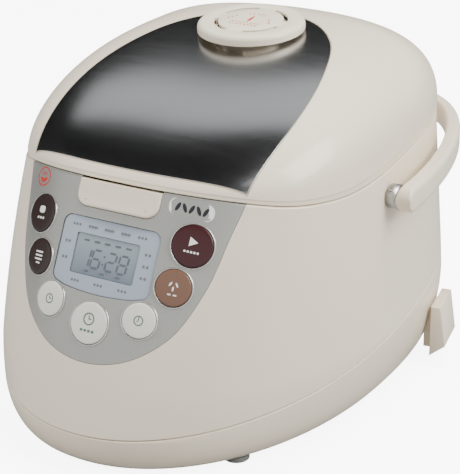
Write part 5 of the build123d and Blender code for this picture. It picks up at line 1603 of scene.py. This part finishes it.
@dataclass
class Studio:
    """Pale floor, soft lights, dark cards for the plate's reflections, and the camera."""

    bench: Bench
    lens: float = 126.05
    shift: tuple[float, float] = (0.0017, -0.0866)
    stand: tuple[float, float, float] = (0.5562, -0.9530, 0.5421)
    aim: tuple[float, float, float] = (0.0, 0.0, 0.125)
    surround: float = 0.84
    paper: float = 9.0
    floor_glow: float = 0.75
    floor_grey: tuple[float, float, float, float] = (0.30, 0.30, 0.30, 1.0)
    lights: tuple[Softbox, ...] = (
        Softbox("key_left", (-1.35, -1.1, 1.05), (0.7, 0.9), 21.0, (1.0, 0.985, 0.96)),
        Softbox("top", (0.15, 0.5, 1.9), (1.2, 0.8), 34.0),
        Softbox("fill_right", (1.5, 0.1, 1.35), (1.0, 1.2), 46.0, (1.0, 0.985, 0.96), glossy=True),
    )

    def world(self) -> None:
        """An even surround for light and reflections, and white paper behind for the camera."""
        world = bpy.data.worlds.new("surround")
        bpy.context.scene.world = world
        world.use_nodes = True
        tree = Tree(world.node_tree)
        seen = tree.node("ShaderNodeLightPath").outputs["Is Camera Ray"]
        soft = tree.node(
            "ShaderNodeBackground", {}, {"Color": (1.0, 1.0, 1.0, 1.0), "Strength": self.surround}
        )
        white = tree.node("ShaderNodeBackground", {}, {"Color": (1.0, 1.0, 1.0, 1.0), "Strength": self.paper})
        both = tree.node("ShaderNodeMixShader", {}, {0: seen, 1: soft.outputs[0], 2: white.outputs[0]})
        tree.node("ShaderNodeOutputWorld", {}, {"Surface": both.outputs[0]})

    def floor(self) -> None:
        """A wide pale floor."""
        mesh = bpy.data.meshes.new("floor")
        mesh.from_pydata([(-6, -6, 0), (6, -6, 0), (6, 6, 0), (-6, 6, 0)], [], [(0, 1, 2, 3)])
        made = bpy.data.objects.new("floor", mesh)
        bpy.context.scene.collection.objects.link(made)
        mesh.materials.append(self.floor_material())

    def floor_material(self) -> bpy.types.Material:
        """Paper that is lit through for the camera and dull for everything else."""
        made = bpy.data.materials.new("floor_paper")
        made.use_nodes = True
        tree = Tree(made.node_tree)
        seen = tree.node("ShaderNodeLightPath").outputs["Is Camera Ray"]
        dull = tree.node("ShaderNodeBsdfDiffuse", {}, {"Color": self.floor_grey})
        pale = tree.node("ShaderNodeBsdfDiffuse", {}, {"Color": (0.9, 0.9, 0.9, 1.0)})
        glow = tree.node(
            "ShaderNodeEmission",
            {},
            {"Color": (1.0, 1.0, 1.0, 1.0), "Strength": self.paper * self.floor_glow},
        )
        lit = tree.node("ShaderNodeAddShader", {}, {0: pale.outputs[0], 1: glow.outputs[0]})
        both = tree.node("ShaderNodeMixShader", {}, {0: seen, 1: dull.outputs[0], 2: lit.outputs[0]})
        tree.node("ShaderNodeOutputMaterial", {}, {"Surface": both.outputs[0]})
        return made

    def cards(self) -> None:
        """Dark cards that only reflections see."""
        dark = Finish("card_black", (0.01, 0.01, 0.01), 1.0, mottle=0.0).material()
        spots = (
            ("card_back", [(-3.2, 1.5, 0.05), (1.2, 2.4, 0.05), (1.2, 2.4, 2.45), (-3.2, 1.5, 2.25)]),
            ("card_top", [(-1.7, -1.0, 1.28), (0.6, -1.0, 1.28), (0.6, 0.42, 1.66), (-1.7, 0.42, 1.66)]),
            ("card_left", [(-2.0, -1.0, 0.05), (-2.0, 1.7, 0.05), (-2.0, 1.7, 1.9), (-2.0, -1.0, 1.9)]),
            ("card_front", [(-0.4, -1.0, 1.5), (1.5, -1.0, 1.5), (1.5, -2.3, 1.5), (-0.4, -2.3, 1.5)]),
        )
        for name, corners in spots:
            mesh = bpy.data.meshes.new(name)
            mesh.from_pydata(corners, [], [(0, 1, 2, 3)])
            mesh.materials.append(dark)
            made = bpy.data.objects.new(name, mesh)
            bpy.context.scene.collection.objects.link(made)
            made.visible_camera = False
            made.visible_diffuse = False
            made.visible_shadow = False

    def camera(self) -> None:
        """The camera, fitted to the object's own proportions."""
        data = bpy.data.cameras.new("camera")
        data.sensor_width = 36.0
        data.lens = self.lens
        data.shift_x, data.shift_y = self.shift
        made = bpy.data.objects.new("camera", data)
        made.location = self.stand
        made.rotation_mode = "QUATERNION"
        made.rotation_quaternion = (Vector(self.aim) - Vector(self.stand)).to_track_quat("-Z", "Y")
        bpy.context.scene.collection.objects.link(made)
        bpy.context.scene.camera = made

    def build(self) -> None:
        """Set up everything round the object."""
        self.world()
        self.floor()
        self.cards()
        for light in self.lights:
            light.build()
        self.camera()


def main() -> None:
    """Build the cooker's visual pieces over the frame, then the studio."""
    logging.basicConfig(level=logging.INFO, format="%(message)s")
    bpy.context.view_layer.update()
    bench = Bench()
    marks = MarkField(bench)
    housing, top, panel = Housing(bench), PlateAndVent(bench, marks), ControlPanel(bench, marks)
    shell, blank = housing.body()
    bench.cut(shell, panel.tool(0.0))
    bench.soften(shell, 35.0, inset=0.0)
    bench.hang(shell, "cooker", Slot.shell_plastic.value, "shell_plastic", ["body_shell"])
    base = housing.base()
    bench.soften(base, 35.0, inset=0.0)
    bench.hang(base, "cooker", Slot.base_plastic.value, "base_plastic", ["base_cover"])
    lid = housing.lid(top.plate_tool(), top.vent_tool())
    bench.soften(lid, 35.0, inset=0.0)
    bench.hang(lid, "lid", Slot.shell_plastic.value, "shell_plastic", ["lid_shell"])
    top.build()
    panel.build(blank)
    CarryHandle(bench).build()
    done = {node for o in bpy.data.objects for node in o.get("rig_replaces", [])}
    CopiedParts(bench).build(done)
    Studio(bench).build()
    log.info("%d pieces", len(bench.made))


if __name__ == "__main__":
    main()
